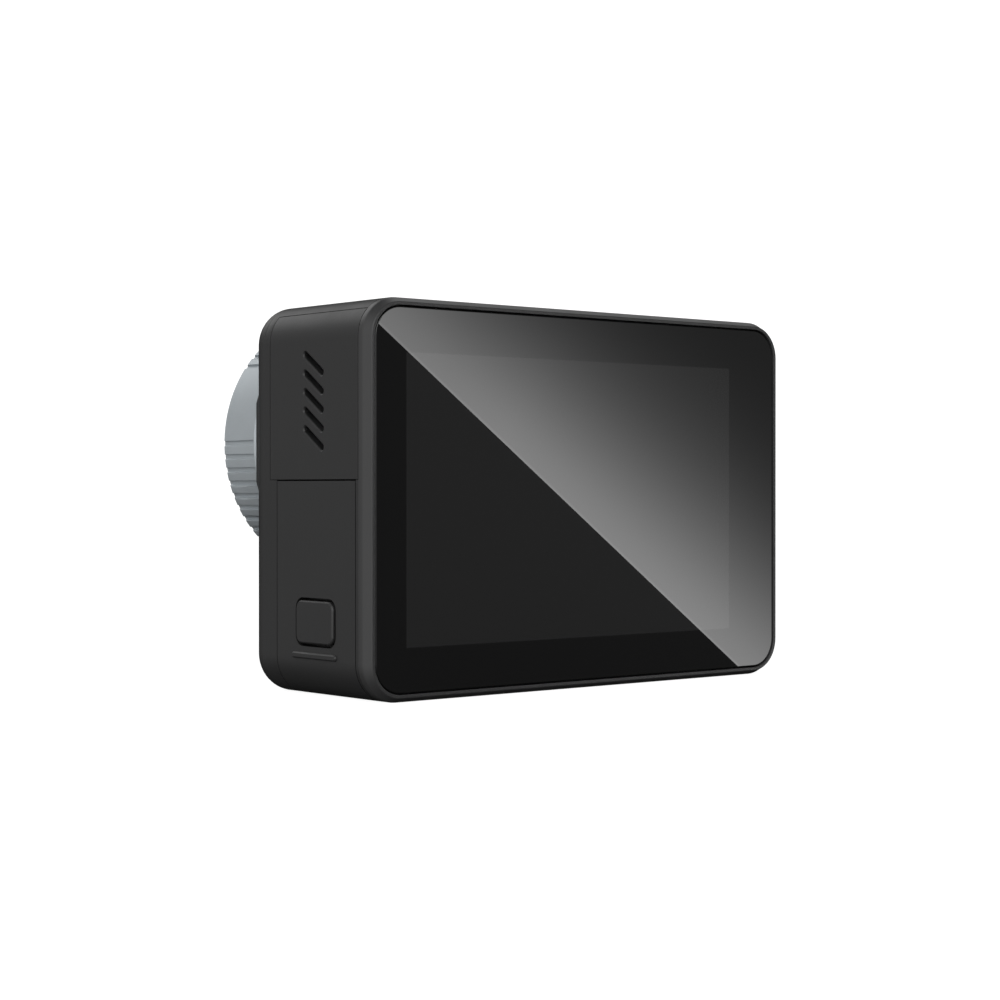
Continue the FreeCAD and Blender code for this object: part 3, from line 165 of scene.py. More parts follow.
# ================================================================ node materials
class Shader:
    """A new node material, with short calls for the nodes that the finishes share."""

    def __init__(self, name):
        self.material = bpy.data.materials.new(name)
        self.material.use_nodes = True
        self.nodes = self.material.node_tree.nodes
        self.links = self.material.node_tree.links
        self.surface = self.nodes["Principled BSDF"]
        self.place = self.add("ShaderNodeTexCoord").outputs["Object"]

    def feed(self, socket, value):
        """Links or sets one input."""
        if isinstance(value, bpy.types.NodeSocket):
            self.links.new(value, socket)
        else:
            socket.default_value = value

    def add(self, kind, settings=None, **inputs):
        """A new node with its settings and inputs."""
        node = self.nodes.new(kind)
        for name, value in (settings or {}).items():
            setattr(node, name, value)
        for name, value in inputs.items():
            self.feed(node.inputs[name], value)
        return node

    def set(self, **inputs):
        """Inputs of the surface, with _ for each space in a name."""
        for name, value in inputs.items():
            self.feed(self.surface.inputs[name.replace("_", " ")], value)

    def stretched(self, x, y, z):
        """The position with each axis scaled."""
        node = self.add("ShaderNodeMapping")
        self.feed(node.inputs["Vector"], self.place)
        node.inputs["Scale"].default_value = (x, y, z)
        return node.outputs["Vector"]

    def noise(self, size, detail=2.0, place=None):
        """Soft random values from 0 to 1, with lumps of about `size` mm."""
        node = self.add("ShaderNodeTexNoise", Vector=place or self.place, Detail=detail)
        node.inputs["Scale"].default_value = 1 / (size * MM)
        return node.outputs["Fac"]

    def cells(self, size, place=None, feature="F1", output="Distance"):
        """Distance to the nearest of many scattered points, `size` mm apart."""
        node = self.add("ShaderNodeTexVoronoi", {"feature": feature}, Vector=place or self.place)
        node.inputs["Scale"].default_value = 1 / (size * MM)
        return node.outputs[output]

    def spread(self, value, low, high, from_low=0.0, from_high=1.0):
        """The value moved from one range to another."""
        node = self.add("ShaderNodeMapRange", Value=value)
        node.inputs["From Min"].default_value = from_low
        node.inputs["From Max"].default_value = from_high
        node.inputs["To Min"].default_value = low
        node.inputs["To Max"].default_value = high
        return node.outputs["Result"]

    def math(self, operation, first, second=0.0):
        """One sum on two values."""
        node = self.add("ShaderNodeMath", {"operation": operation})
        self.feed(node.inputs[0], first)
        self.feed(node.inputs[1], second)
        return node.outputs[0]

    def mix(self, share, first, second):
        """One colour turning into another."""
        node = self.add("ShaderNodeMix", {"data_type": "RGBA"})
        self.feed(node.inputs["Factor"], share)
        self.feed(node.inputs["A"], first)
        self.feed(node.inputs["B"], second)
        return node.outputs["Result"]

    def shades(self, colour, value, darkest, lightest):
        """A colour from `darkest` to `lightest` times itself, as the value goes from 0 to 1."""
        dark = [c * darkest for c in colour] + [1]
        light = [c * lightest for c in colour] + [1]
        return self.mix(value, dark, light)

    def axis(self, name):
        """One coordinate of the position, in mm."""
        parts = self.add("ShaderNodeSeparateXYZ", Vector=self.place)
        return self.math("MULTIPLY", parts.outputs[name], 1 / MM)

    def inside(self, name, low, high, soft=0.02):
        """1 between two places along an axis, 0 outside, with a short soft edge. Millimetres."""
        along = self.axis(name)
        rising = self.spread(along, 0, 1, low - soft, low + soft)
        falling = self.spread(along, 1, 0, high - soft, high + soft)
        return self.math("MULTIPLY", rising, falling)

    def bump(self, height, depth, before=None):
        """A raised pattern whose height goes from 0 to `depth` mm."""
        node = self.add("ShaderNodeBump", Height=height)
        node.inputs["Distance"].default_value = depth * MM
        node.inputs["Strength"].default_value = 1.0
        if before:
            self.feed(node.inputs["Normal"], before)
        return node.outputs["Normal"]


def moulded_plastic(name, colour, roughness, grain=0.16, depth=0.004):
    """Moulded plastic: spark-eroded grain, faint flow marks and uneven gloss from handling."""
    s = Shader(name)
    fine = s.noise(grain, detail=3.0)
    pits = s.cells(grain * 1.6)
    flow = s.noise(9.0, detail=2.0, place=s.stretched(1.0, 0.35, 0.6))
    handled = s.noise(4.5, detail=4.0)
    tone = s.math("ADD", s.math("MULTIPLY", fine, 0.45), s.math("MULTIPLY", flow, 0.55))
    worn = s.math("ADD", handled, s.math("MULTIPLY", fine, 0.5))
    s.set(
        Base_Color=s.shades(colour, tone, 0.86, 1.14),
        Roughness=s.spread(worn, roughness - 0.07, roughness + 0.07, 0.3, 1.1),
        Normal=s.bump(s.math("SUBTRACT", fine, s.math("MULTIPLY", pits, 0.6)), depth),
        IOR=1.5,
    )
    return s.material


def anodised(name, colour, roughness, metallic, grain=0.09, depth=0.003):
    """Bead-blasted, anodised aluminium: tiny pits, and a slight change of tone over the piece."""
    s = Shader(name)
    beads = s.cells(grain)
    cloud = s.noise(3.0, detail=3.0)
    tone = s.math("ADD", s.math("MULTIPLY", cloud, 0.7), s.math("MULTIPLY", beads, 0.5))
    s.set(
        Base_Color=s.shades(colour, tone, 0.9, 1.08),
        Metallic=metallic,
        Roughness=s.spread(cloud, roughness - 0.05, roughness + 0.05),
        Normal=s.bump(beads, depth),
    )
    return s.material


def brushed_metal(name, colour, roughness, along=(1.0, 0.04, 1.0), depth=0.002):
    """Rolled or drawn metal, with fine lines along one axis."""
    s = Shader(name)
    lines = s.noise(0.05, detail=3.0, place=s.stretched(*along))
    cloud = s.noise(2.5, detail=2.0)
    s.set(
        Base_Color=s.shades(colour, s.math("MULTIPLY", s.math("ADD", lines, cloud), 0.5), 0.8, 1.12),
        Metallic=1.0,
        Roughness=s.spread(lines, roughness - 0.08, roughness + 0.12),
        Normal=s.bump(lines, depth),
    )
    return s.material


def rubber(name, colour):
    """Silicone rubber with a dull skin and a little dust."""
    s = Shader(name)
    skin = s.noise(0.08, detail=4.0)
    dust = s.spread(s.noise(0.6, detail=5.0), 0.0, 1.0, 0.55, 0.75)
    dusty = [c + 0.05 for c in colour] + [1]
    s.set(
        Base_Color=s.mix(s.math("MULTIPLY", dust, 0.25), [*colour, 1], dusty),
        Roughness=s.spread(skin, 0.62, 0.8),
        Normal=s.bump(skin, 0.004),
        Sheen_Weight=0.15,
        Specular_IOR_Level=0.35,
    )
    return s.material


def black_glass(name, window, axes=("X", "Z")):
    """Polished glass with a black printed back and a slightly lighter window over the display."""
    s = Shader(name)
    across, up = window
    lit = s.math("MULTIPLY", s.inside(axes[0], *across, soft=0.06), s.inside(axes[1], *up, soft=0.06))
    weave = s.math("MULTIPLY", s.noise(0.05, detail=1.0), 0.25)
    border = (0.0055, 0.0055, 0.0056, 1)
    panel = s.mix(weave, (0.019, 0.019, 0.0191, 1), (0.023, 0.023, 0.0231, 1))
    smudge = s.spread(s.noise(7.0, detail=5.0), 0.0, 0.02, 0.45, 0.8)
    s.set(
        Base_Color=s.mix(lit, border, panel),
        Roughness=smudge,
        IOR=1.5,
        Specular_IOR_Level=s.spread(lit, 0.5, 0.54),
    )
    return s.material


def clear_glass(name, tint, coating_sheen_colour, painted_sheen_strength):
    """Coated optical glass: clear in the middle, with a coloured sheen painted into the colour toward
    the rim.
    """
    s = Shader(name)
    # painted sheen: toward the rim, as the surface turns away from the view, the colour turns from the
    # tint to the sheen colour of the coat, in uneven patches
    facing = s.add("ShaderNodeLayerWeight", Blend=0.35).outputs["Facing"]
    patchy_painted_sheen = s.math("MULTIPLY", s.spread(s.noise(5.0), 0.8, 1.0), painted_sheen_strength)
    colour = s.mix(s.math("MULTIPLY", facing, patchy_painted_sheen), [*tint, 1], [*coating_sheen_colour, 1])
    s.set(
        Base_Color=colour,
        Transmission_Weight=1.0,
        Roughness=s.spread(s.noise(2.0, detail=4.0), 0.0, 0.03),
        IOR=1.45,
        Specular_Tint=[*coating_sheen_colour, 1],
        Coat_Weight=0.4,
        Coat_Roughness=0.03,
        Coat_Tint=[*coating_sheen_colour, 1],
    )
    return s.material


def circuit_board(name, colour):
    """Solder mask over copper tracks, with small pads."""
    s = Shader(name)
    node = s.add("ShaderNodeTexBrick", {"offset": 0.37}, Vector=s.stretched(1, 1, 1))
    node.inputs["Scale"].default_value = 1 / (1.6 * MM)
    node.inputs["Mortar Size"].default_value = 0.035
    tracks = node.outputs["Fac"]
    pads = s.spread(s.cells(1.1), 1, 0, 0.1, 0.16)
    mask = s.shades(colour, s.noise(2.0, detail=3.0), 0.8, 1.2)
    tracked = s.mix(tracks, mask, [c * 1.7 for c in colour] + [1])
    s.set(
        Base_Color=s.mix(pads, tracked, (0.72, 0.55, 0.25, 1)),
        Metallic=pads,
        Roughness=s.spread(s.noise(0.7), 0.28, 0.42),
        Normal=s.bump(s.math("ADD", tracks, pads), 0.02),
    )
    return s.material


def chip_epoxy(name, colour):
    """Black moulded epoxy with filler specks."""
    s = Shader(name)
    specks = s.cells(0.07)
    s.set(
        Base_Color=s.shades(colour, specks, 0.8, 1.5),
        Roughness=s.spread(s.noise(0.9, detail=3.0), 0.45, 0.6),
        Normal=s.bump(specks, 0.005),
    )
    return s.material


def wrapped_film(name, colour, roughness):
    """Thin plastic film with faint creases."""
    s = Shader(name)
    creases = s.noise(1.6, detail=5.0, place=s.stretched(0.4, 1.0, 1.0))
    s.set(
        Base_Color=s.shades(colour, creases, 0.9, 1.08),
        Roughness=s.spread(creases, roughness - 0.06, roughness + 0.1),
        Normal=s.bump(creases, 0.02),
        Coat_Weight=0.3,
        Coat_Roughness=0.15,
    )
    return s.material


def display_layers(name, colour):
    """A laminated display: fine rows of pixels under a smooth film."""
    s = Shader(name)
    node = s.add("ShaderNodeTexChecker", Vector=s.stretched(1, 1, 1))
    node.inputs["Scale"].default_value = 1 / (0.1 * MM)
    s.set(
        Base_Color=s.shades(colour, node.outputs["Fac"], 0.8, 1.2),
        Roughness=s.spread(s.noise(3.0), 0.18, 0.26),
        Coat_Weight=0.6,
        Coat_Roughness=0.05,
    )
    return s.material


def frosted_plastic(name, colour):
    """The cloudy plastic of a light pipe."""
    s = Shader(name)
    cloud = s.noise(0.2, detail=3.0)
    s.set(
        Base_Color=s.shades(colour, cloud, 0.85, 1.1),
        Roughness=s.spread(cloud, 0.3, 0.45),
        Subsurface_Weight=0.3,
        Subsurface_Radius=(0.002, 0.002, 0.002),
        Normal=s.bump(cloud, 0.003),
    )
    return s.material


# ================================================================ the finish of every slot
def slot_finishes():
    """The material of each slot of the record."""
    low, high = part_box("lcd_panel")
    lit_across = (low.x / MM + LIT_MARGIN_FAR, high.x / MM - LIT_MARGIN_NEAR)
    lit_up = (low.z / MM + LIT_MARGIN_UP, high.z / MM - LIT_MARGIN_UP)
    front_low, front_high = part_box("front_display")
    front_across = (front_low.x / MM + FRONT_MARGIN, front_high.x / MM - FRONT_MARGIN)
    front_up = (front_low.z / MM + FRONT_MARGIN, front_high.z / MM - FRONT_MARGIN)
    finishes = {
        "case_plastic": (moulded_plastic, (0.0182, 0.0182, 0.0185), 0.42),
        "panel_plastic": (moulded_plastic, (0.0195, 0.0195, 0.0198), 0.42),
        "bezel_plastic": (moulded_plastic, (0.036, 0.036, 0.0365), 0.34, 0.12, 0.002),
        "button_plastic": (moulded_plastic, (0.016, 0.016, 0.0165), 0.4, 0.12, 0.003),
        "inner_plastic": (moulded_plastic, (0.02, 0.02, 0.021), 0.5, 0.25, 0.006),
        "battery_case": (moulded_plastic, (0.045, 0.045, 0.05), 0.42, 0.2, 0.005),
        "screen_glass": (black_glass, (lit_across, lit_up)),
        "front_screen_glass": (black_glass, (front_across, front_up)),
        # clear glasses: tint, sheen colour of the coat, and strength of the painted sheen at the rim
        "clear_glass": (clear_glass, (0.97, 0.98, 1.0), (0.75, 0.8, 1.0), 0.4),
        "lens_glass": (clear_glass, (0.94, 0.96, 0.98), (0.5, 0.46, 0.86), 0.35),
        "ring_metal": (anodised, (0.47, 0.51, 0.535), 0.45, 0.45),
        "black_metal": (anodised, (0.02, 0.02, 0.022), 0.4, 0.6),
        "chassis_metal": (brushed_metal, (0.45, 0.45, 0.47), 0.38, (0.05, 1.0, 1.0)),
        "steel": (brushed_metal, (0.5, 0.5, 0.52), 0.3),
        "brass_insert": (brushed_metal, (0.62, 0.47, 0.2), 0.28, (1.0, 1.0, 0.08)),
        "copper_sheet": (brushed_metal, (0.7, 0.33, 0.17), 0.3, (0.05, 1.0, 1.0)),
        "seal_rubber": (rubber, (0.012, 0.012, 0.012)),
        "board_laminate": (circuit_board, (0.008, 0.06, 0.03)),
        "chip_epoxy": (chip_epoxy, (0.012, 0.012, 0.013)),
        "tab_film": (wrapped_film, (0.42, 0.43, 0.45), 0.35),
        "display_stack": (display_layers, (0.02, 0.02, 0.022)),
        "light_pipe": (frosted_plastic, (0.6, 0.62, 0.66)),
    }
    return {name: finish(name, *details) for name, (finish, *details) in finishes.items()}


FINISH = slot_finishes()
FINISH_OF_NODE = {"front_glass": "front_screen_glass"}


def paint(thing, name):
    """Gives an object one material."""
    slots = thing.data.materials
    slots.clear()
    slots.append(FINISH[name])


def round_edges(node, width, segments=3):
    """Welds the faces of a CAD piece and rounds its sharp edges."""
    thing = NODES[node]
    weld = thing.modifiers.new("weld", "WELD")
    weld.merge_threshold = WELD_GAP * MM
    flat = thing.modifiers.new("flat", "DECIMATE")
    flat.decimate_type = "DISSOLVE"
    flat.angle_limit = math.radians(FLAT_ANGLE_DEG)
    bevel = thing.modifiers.new("round", "BEVEL")
    bevel.width = width * MM
    bevel.segments = segments
    bevel.limit_method = "ANGLE"
    bevel.angle_limit = math.radians(EDGE_ANGLE_DEG)
    bevel.miter_outer = "MITER_ARC"
    even = thing.modifiers.new("even", "WEIGHTED_NORMAL")
    even.weight = 60
    even.keep_sharp = False


# ================================================================ mesh pieces
def new_piece(name, vertices, faces, node, slot, sharp_deg=35):
    """A mesh piece in metres that stands for a CAD node and moves with its body."""
    mesh = bpy.data.meshes.new(name)
    mesh.from_pydata([Vector(v) * MM for v in vertices], [], faces)
    mesh.validate()
    shape = bmesh.new()
    shape.from_mesh(mesh)
    bmesh.ops.recalc_face_normals(shape, faces=shape.faces)
    shape.to_mesh(mesh)
    shape.free()
    mesh.polygons.foreach_set("use_smooth", [True] * len(mesh.polygons))
    mesh.set_sharp_from_angle(angle=math.radians(sharp_deg))
    piece = bpy.data.objects.new(name, mesh)
    bpy.context.scene.collection.objects.link(piece)
    paint(piece, slot)
    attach(piece, BODY_OF[node])
    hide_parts(node)
    return piece


def node_box(node):
    """The lowest and highest corners of a CAD node, in mm."""
    low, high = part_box(node)
    return low / MM, high / MM


def bridge(rows, closed_rows=True):
    """Quads between rows of equally many points, each row a closed loop."""
    count = len(rows[0])
    faces = []
    spans = len(rows) if closed_rows else len(rows) - 1
    for row in range(spans):
        start, following = row * count, (row + 1) % len(rows) * count
        for i in range(count):
            j = (i + 1) % count
            faces.append((start + i, start + j, following + j, following + i))
    return faces


def rounded_loop(x, z, radius, y, points=14):
    """A closed loop round a rounded rectangle that faces along Y."""
    centres = (
        (x[1] - radius, z[1] - radius),
        (x[0] + radius, z[1] - radius),
        (x[0] + radius, z[0] + radius),
        (x[1] - radius, z[0] + radius),
    )
    loop = []
    for corner, (centre_x, centre_z) in enumerate(centres):
        for step in range(points + 1):
            angle = math.radians(90 * (corner + step / points))
            loop.append((centre_x + radius * math.cos(angle), y, centre_z + radius * math.sin(angle)))
    return loop


def rear_bezel_frame():
    """The back frame: a plain strip, a broad chamfer, a flat lip, and the ledge under the glass."""
    low, high = node_box("rear_bezel")
    glass_low, glass_high = node_box("cover_glass")
    lcd_low, lcd_high = node_box("lcd_panel")
    split, back = low.y, high.y
    pocket = high.x - glass_high.x - GLASS_GAP
    ledge = glass_low.y - GLUE_DEPTH
    outline = [(2 * SOFT, split), (SOFT / 2, split + SOFT / 2)]
    outline += [(0.0, split + 2 * SOFT), (0.0, split + 4 * SOFT)]
    outline += [(inset, back - depth) for inset, depth in CHAMFER_OUTLINE]
    outline += [(pocket - 3 * SOFT, back), (pocket - 1.5 * SOFT, back)]
    outline += [(pocket - SOFT / 2, back - SOFT / 2), (pocket, back - 2 * SOFT), (pocket, ledge)]
    rows = []
    for inset, y in outline:
        across = (low.x + inset, high.x - inset)
        up = (low.z + inset, high.z - inset)
        rows.append(rounded_loop(across, up, BEZEL_CORNER - inset, y))
    window_x = (lcd_low.x - WINDOW_OVER, lcd_high.x + WINDOW_OVER)
    window_z = (lcd_low.z - WINDOW_OVER, lcd_high.z + WINDOW_OVER)
    rows += [rounded_loop(window_x, window_z, WINDOW_CORNER, y) for y in (ledge, split)]
    vertices = [point for row in rows for point in row]
    faces = bridge(rows)
    return new_piece("rear_bezel_frame", vertices, faces, "rear_bezel", "bezel_plastic", sharp_deg=50)


def woven_screen():
    """The dust mesh behind the slots, woven from thin wires."""
    low, high = node_box("speaker_mesh")
    middle = (low.x + high.x) / 2
    wave = (high.x - low.x) / 2 - MESH_WIRE
    across = int((high.y - low.y - 2 * MESH_WIRE) / MESH_PITCH)
    up = int((high.z - low.z - 2 * MESH_WIRE) / MESH_PITCH)
    first_y = (low.y + high.y - across * MESH_PITCH) / 2
    first_z = (low.z + high.z - up * MESH_PITCH) / 2
    wires = []
    for column in range(across + 1):
        sides = [(-1) ** (column + row) for row in range(up + 1)]
        y = first_y + column * MESH_PITCH
        places = [(y, first_z + row * MESH_PITCH) for row in range(up + 1)]
        wires.append((places, sides, (1, 0)))
    for row in range(up + 1):
        sides = [-((-1) ** (column + row)) for column in range(across + 1)]
        z = first_z + row * MESH_PITCH
        places = [(first_y + column * MESH_PITCH, z) for column in range(across + 1)]
        wires.append((places, sides, (0, 1)))
    vertices, faces = [], []
    for places, sides, aside in wires:
        start = len(vertices)
        for (y, z), side in zip(places, sides):
            for corner in range(WIRE_SIDES):
                turn = math.tau * corner / WIRE_SIDES
                out, over = MESH_WIRE * math.cos(turn), MESH_WIRE * math.sin(turn)
                vertices.append((middle + wave * side + out, y + over * aside[0], z + over * aside[1]))
        for step in range(len(places) - 1):
            for corner in range(WIRE_SIDES):
                following = (corner + 1) % WIRE_SIDES
                near, far = start + step * WIRE_SIDES, start + (step + 1) * WIRE_SIDES
                faces.append((near + corner, near + following, far + following, far + corner))
        faces.append(tuple(range(start, start + WIRE_SIDES)))
        faces.append(tuple(range(len(vertices) - WIRE_SIDES, len(vertices))))
    return new_piece("woven_screen", vertices, faces, "speaker_mesh", "steel", sharp_deg=60)


def coil_spring(name, node, centre, span, radius, wire, turns, slot):
    """A coil spring along Z, its end turns lying flat."""
    steps = int(turns * SPRING_STEPS)
    low, high = span[0] + wire, span[1] - wire
    rows = []
    for step in range(steps + 1):
        angle = math.tau * step / SPRING_STEPS
        share = min(max((step / SPRING_STEPS - 1) / (turns - 2), 0), 1)
        outwards = Vector((math.cos(angle), math.sin(angle), 0))
        middle = Vector((centre[0], centre[1], low + (high - low) * share)) + outwards * radius
        row = []
        for side in range(WIRE_SIDES):
            turn = math.tau * side / WIRE_SIDES
            rise = Vector((0, 0, wire * math.sin(turn)))
            row.append(middle + outwards * wire * math.cos(turn) + rise)
        rows.append(row)
    vertices = [point for row in rows for point in row]
    faces = bridge(rows, closed_rows=False)
    faces.append(tuple(range(WIRE_SIDES)))
    faces.append(tuple(range(len(vertices) - WIRE_SIDES, len(vertices))))
    return new_piece(name, vertices, faces, node, slot)


def latch_coils():
    """The two coil springs above the latch bolt, each with a mesh of its own; in the real camera they
    shorten as the bolt lifts.
    """
    low, high = node_box("latch_springs")
    outer = (high.x - low.x) / 2
    middle_x = (low.x + high.x) / 2
    for number, y in enumerate((low.y + outer, high.y - outer), 1):
        coil = coil_spring(
            f"latch_coil_{number}", "latch_springs", (middle_x, y), (low.z, high.z),
            outer - SPRING_WIRE, SPRING_WIRE, SPRING_TURNS, "steel",
        )
        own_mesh(coil)


def ringed_profile(profile, centre, axis, points):
    """Closed rings of points round a line along `axis`, one for each (radius, place) pair."""
    rows = []
    for radius, place in profile:
        row = []
        for step in range(points):
            angle = math.tau * step / points
            first, second = radius * math.cos(angle), radius * math.sin(angle)
            if axis == "Y":
                row.append((centre[0] + first, place, centre[1] + second))
            else:
                row.append((centre[0] + first, centre[1] + second, place))
        rows.append(row)
    return rows


def turned_piece(name, node, profile, centre, axis, slot, sharp_deg=25):
    """A closed profile turned round a line along `axis`."""
    rows = ringed_profile(profile, centre, axis, TURNED_POINTS)
    vertices = [point for row in rows for point in row]
    return new_piece(name, vertices, bridge(rows), node, slot, sharp_deg)


def thread_teeth(crest, root, start, end, pitch):
    """A row of ridges from one place to another, spaced like the turns of a thread."""
    count = max(int(abs(end - start) / pitch), 1)
    step = (end - start) / count
    radii = (crest, root, root, crest)
    teeth = []
    for tooth in range(count):
        place = start + tooth * step
        teeth += [(radius, place + step * share) for radius, share in zip(radii, TOOTH_SHARES)]
    return teeth


def threaded_collar():
    """The lens collar, with ridges in place of the thread that the ring turns on."""
    low, high = node_box("lens_collar")
    centre = ((low.x + high.x) / 2, (low.z + high.z) / 2)
    flange = (high.x - low.x) / 2
    crest, bore = flange - COLLAR_STEP, flange - COLLAR_WALL
    shelf = high.y - COLLAR_FLANGE
    runout = shelf - COLLAR_PLAIN
    profile = [(bore, low.y + EDGE), (bore + EDGE, low.y), (crest - 2 * EDGE, low.y)]
    profile += thread_teeth(crest, crest - COLLAR_TOOTH, low.y + 2 * EDGE, runout, COLLAR_PITCH)
    profile += [(crest, runout), (crest, shelf), (flange, shelf), (flange, high.y), (bore, high.y)]
    return turned_piece("threaded_collar", "lens_collar", profile, centre, "Y", "black_metal")


def threaded_insert():
    """The tripod insert: a sleeve with a groove round it, and ridges in its bore like a thread."""
    low, high = node_box("tripod_insert")
    centre = ((low.x + high.x) / 2, (low.y + high.y) / 2)
    outer = (high.x - low.x) / 2
    crest = TRIPOD_CREST_R
    groove = (low.z + high.z) / 2
    bottom = outer - GROOVE_DEPTH
    profile = [(outer - EDGE, low.z), (outer, low.z + EDGE)]
    profile += [(outer, groove - GROOVE_HALF[1]), (bottom, groove - GROOVE_HALF[0])]
    profile += [(bottom, groove + GROOVE_HALF[0]), (outer, groove + GROOVE_HALF[1])]
    profile += [(outer, high.z - EDGE), (outer - EDGE, high.z), (crest + TRIPOD_TOOTH, high.z)]
    profile += thread_teeth(crest, crest + TRIPOD_TOOTH, high.z, low.z + TRIPOD_MOUTH, TRIPOD_PITCH)
    profile += [(crest, low.z + TRIPOD_MOUTH), (crest + TRIPOD_MOUTH, low.z)]
    return turned_piece("threaded_insert", "tripod_insert", profile, centre, "Z", "brass_insert")


def dished_button(node, name):
    """A round top button with a softly dished cap, the flange below it and its stem."""
    low, high = node_box(node)
    centre = ((low.x + high.x) / 2, (low.y + high.y) / 2)
    flange = (high.x - low.x) / 2
    cap = flange - CAP_LIP
    bottom, top = CAP_FLANGE_Z
    profile = [(CAP_STEM_R - EDGE, low.z), (CAP_STEM_R, low.z + EDGE), (CAP_STEM_R, bottom)]
    profile += [(flange - EDGE, bottom), (flange, bottom + EDGE)]
    profile += [(flange, top - EDGE), (flange - EDGE, top)]
    profile += [(cap, top), (cap, high.z - CAP_ROUND)]
    for step in range(1, ROUND_STEPS + 1):
        angle = math.radians(90 * step / ROUND_STEPS)
        inwards, drop = CAP_ROUND * (1 - math.cos(angle)), CAP_ROUND * (1 - math.sin(angle))
        profile.append((cap - inwards, high.z - drop))
    rim = cap - CAP_ROUND - CAP_RIM
    for step in range(DISH_STEPS):
        share = step / DISH_STEPS
        dip = CAP_DISH * math.sin(math.radians(90 * share)) ** 2
        profile.append((rim * (1 - share), high.z - dip))
    rows = ringed_profile(profile, centre, "Z", TURNED_POINTS)
    vertices = [point for row in rows for point in row]
    faces = bridge(rows, closed_rows=False)
    vertices += [(*centre, low.z), (*centre, high.z - CAP_DISH)]
    bottom_point, top_point = len(vertices) - 2, len(vertices) - 1
    last = len(vertices) - 2 - TURNED_POINTS
    for step in range(TURNED_POINTS):
        following = (step + 1) % TURNED_POINTS
        faces.append((bottom_point, step, following))
        faces.append((top_point, last + step, last + following))
    return new_piece(name, vertices, faces, node, "button_plastic")


# ================================================================ stage, lights and camera
def plain_object(name, vertices, faces, material):
    """An object that isn't part of the camera."""
    mesh = bpy.data.meshes.new(name)
    mesh.from_pydata(vertices, [], faces)
    thing = bpy.data.objects.new(name, mesh)
    bpy.context.scene.collection.objects.link(thing)
    mesh.materials.append(material)
    return thing


def pale_floor():
    """A wide white floor that doesn't throw light back on the object."""
    s = Shader("pale_floor")
    tone = s.spread(s.noise(40.0), 0.78, 0.8)
    s.set(Base_Color=s.mix(tone, (0.28, 0.28, 0.28, 1), (0.3, 0.3, 0.3, 1)), Roughness=0.9)
    s.set(Emission_Color=(1, 1, 1, 1), Emission_Strength=FLOOR_SHINE)
    reach = FLOOR_REACH
    corners = [(-reach, -reach, 0), (reach, -reach, 0), (reach, reach, 0), (-reach, reach, 0)]
    floor = plain_object("floor", corners, [(0, 1, 2, 3)], s.material)
    floor.visible_diffuse = False
    floor.visible_glossy = False
    return floor


def studio_world():
    """White to the eye. It lights the object from large soft patches, with the rest kept dim."""
    world = bpy.data.worlds.new("studio")
    world.use_nodes = True
    nodes, links = world.node_tree.nodes, world.node_tree.links
    backdrop = nodes["Background"]
    direction = nodes.new("ShaderNodeTexCoord").outputs["Generated"]

    def combine(operation, first, second):
        """One sum on two values."""
        node = nodes.new("ShaderNodeMath")
        node.operation = operation
        for socket, value in zip(node.inputs, (first, second)):
            if isinstance(value, float):
                socket.default_value = value
            else:
                links.new(value, socket)
        return node.outputs[0]

    def around(centre, inner_deg, outer_deg, middle, edge):
        """`middle` within one angle of a direction, turning softly into `edge` at another."""
        towards = nodes.new("ShaderNodeVectorMath")
        towards.operation = "DOT_PRODUCT"
        links.new(direction, towards.inputs[0])
        towards.inputs[1].default_value = Vector(centre).normalized()
        fade = nodes.new("ShaderNodeMapRange")
        fade.interpolation_type = "SMOOTHSTEP"
        links.new(towards.outputs["Value"], fade.inputs["Value"])
        fade.inputs["From Min"].default_value = math.cos(math.radians(outer_deg))
        fade.inputs["From Max"].default_value = math.cos(math.radians(inner_deg))
        fade.inputs["To Min"].default_value = edge
        fade.inputs["To Max"].default_value = middle
        return fade.outputs["Result"]

    light = around((0, 0, -1), *FLOOR_EDGE_DEG, FLOOR_GLOW, ROOM_GLOW)
    for centre, inner, outer, kept in DARK_PATCHES:
        light = combine("MULTIPLY", light, around(centre, inner, outer, kept, 1.0))
    for centre, inner, outer, strength in BRIGHT_PATCHES:
        light = combine("ADD", light, around(centre, inner, outer, strength, 0.0))
    path = nodes.new("ShaderNodeLightPath")
    choose = nodes.new("ShaderNodeMix")
    choose.data_type = "FLOAT"
    links.new(path.outputs["Is Camera Ray"], choose.inputs["Factor"])
    links.new(light, choose.inputs["A"])
    choose.inputs["B"].default_value = BACKDROP_SHINE
    links.new(choose.outputs["Result"], backdrop.inputs["Strength"])
    backdrop.inputs["Color"].default_value = (1, 1, 1, 1)
    bpy.context.scene.world = world


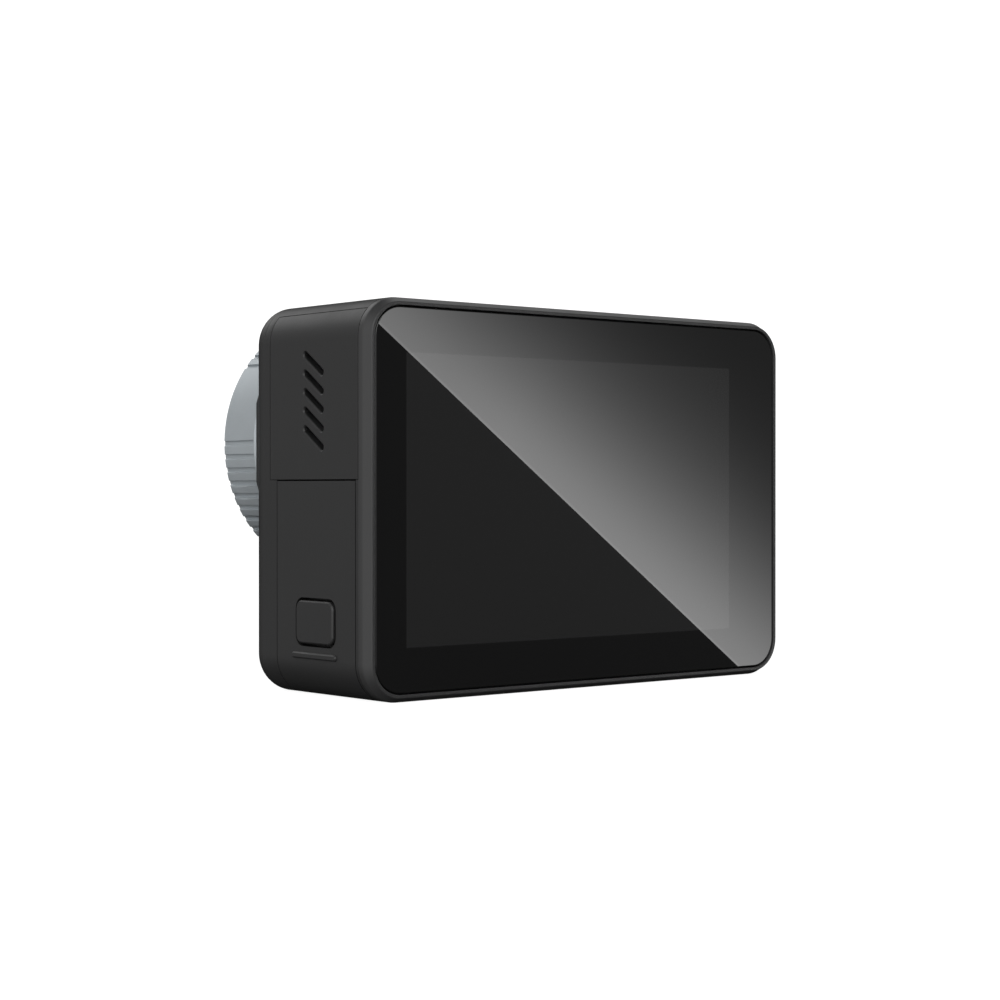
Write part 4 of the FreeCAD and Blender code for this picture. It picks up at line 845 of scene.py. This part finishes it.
def side_softbox():
    """A graded light panel that the screen mirrors, with its edge from corner to corner."""
    low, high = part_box("cover_glass")
    mirrored = Vector((EYE.x, 2 * high.y - EYE.y, EYE.z))
    reach = PANEL_DISTANCE

    def beyond(x, z):
        """Where the ray from the mirrored eye through a point of the glass meets the panel's plane."""
        ray = Vector((x, high.y, z)) - mirrored
        return mirrored + ray * (reach / (high.y - mirrored.y) + 1)

    size = high - low
    start = Vector((low.x + PANEL_START[0] * size.x, low.z + PANEL_START[1] * size.z))
    end = Vector((low.x + PANEL_END[0] * size.x, low.z + PANEL_END[1] * size.z))
    along = (end - start).normalized()
    aside = Vector((along.y, -along.x))
    if aside.y < 0:
        aside = -aside
    far = size.x * 1.5
    before, after = start - along * far, end + along * far
    corners = [before, after, after + aside * far, before + aside * far]
    vertices = [beyond(c.x, c.y) for c in corners]
    s = Shader("softbox")
    uv = s.add("ShaderNodeUVMap", {"uv_map": "panel"}).outputs["UV"]
    parts = s.add("ShaderNodeSeparateXYZ", Vector=uv)
    depth = s.math("MAXIMUM", parts.outputs["Y"], 0.0)
    length = s.spread(parts.outputs["X"], *PANEL_FADE, *PANEL_FADE_ALONG)
    share = s.math("POWER", s.math("DIVIDE", depth, length), PANEL_FADE_POWER)
    fall = s.math("EXPONENT", s.math("MULTIPLY", share, -1.0))
    peak = s.spread(parts.outputs["X"], *PANEL_PEAK, *PANEL_PEAK_ALONG)
    rim = s.spread(depth, PANEL_RIM[0], 0.0, 0.0, PANEL_RIM[1])
    light = s.math("ADD", s.math("MULTIPLY", fall, s.math("ADD", peak, rim)), PANEL_REST)
    glow = s.add("ShaderNodeEmission", Strength=light)
    s.links.new(glow.outputs[0], s.nodes["Material Output"].inputs["Surface"])
    panel = plain_object("softbox", vertices, [(0, 1, 2, 3)], s.material)
    layer = panel.data.uv_layers.new(name="panel")
    span = (end - start).length / MM
    deep = far / MM
    for i, uv_point in enumerate(((-deep, 0), (span + deep, 0), (span + deep, deep), (-deep, deep))):
        layer.data[i].uv = uv_point
    panel.visible_camera = False
    panel.visible_diffuse = False
    panel.visible_shadow = False
    return panel


def photographer():
    """The camera that takes the picture."""
    data = bpy.data.cameras.new("eye")
    data.lens = EYE_LENS
    data.sensor_width = EYE_SENSOR
    data.clip_start = 0.001
    data.clip_end = 50
    eye = bpy.data.objects.new("eye", data)
    eye.location = EYE
    eye.rotation_euler = (math.radians(90 + EYE_TILT_DEG), 0, math.radians(EYE_HEADING_DEG))
    bpy.context.scene.collection.objects.link(eye)
    bpy.context.scene.camera = eye


# ================================================================ putting it together
for node, thing in NODES.items():
    paint(thing, FINISH_OF_NODE.get(node, SLOT_OF[node]))

for node in ("front_cover", "main_housing"):
    round_edges(node, CASE_EDGE)
for node in ("side_panel", "battery_door"):
    round_edges(node, PANEL_EDGE)
for node in ("latch_button", "lens_ring", "battery"):
    round_edges(node, SMALL_EDGE)
for node in ("cover_glass", "front_glass", "ring_glass"):
    round_edges(node, TINY_EDGE)

rear_bezel_frame()
woven_screen()
latch_coils()
threaded_collar()
threaded_insert()
dished_button("shutter_button", "dished_shutter_button")
dished_button("power_button", "dished_power_button")
pale_floor()
studio_world()
side_softbox()
photographer()
bpy.context.scene.view_settings.view_transform = "Standard"
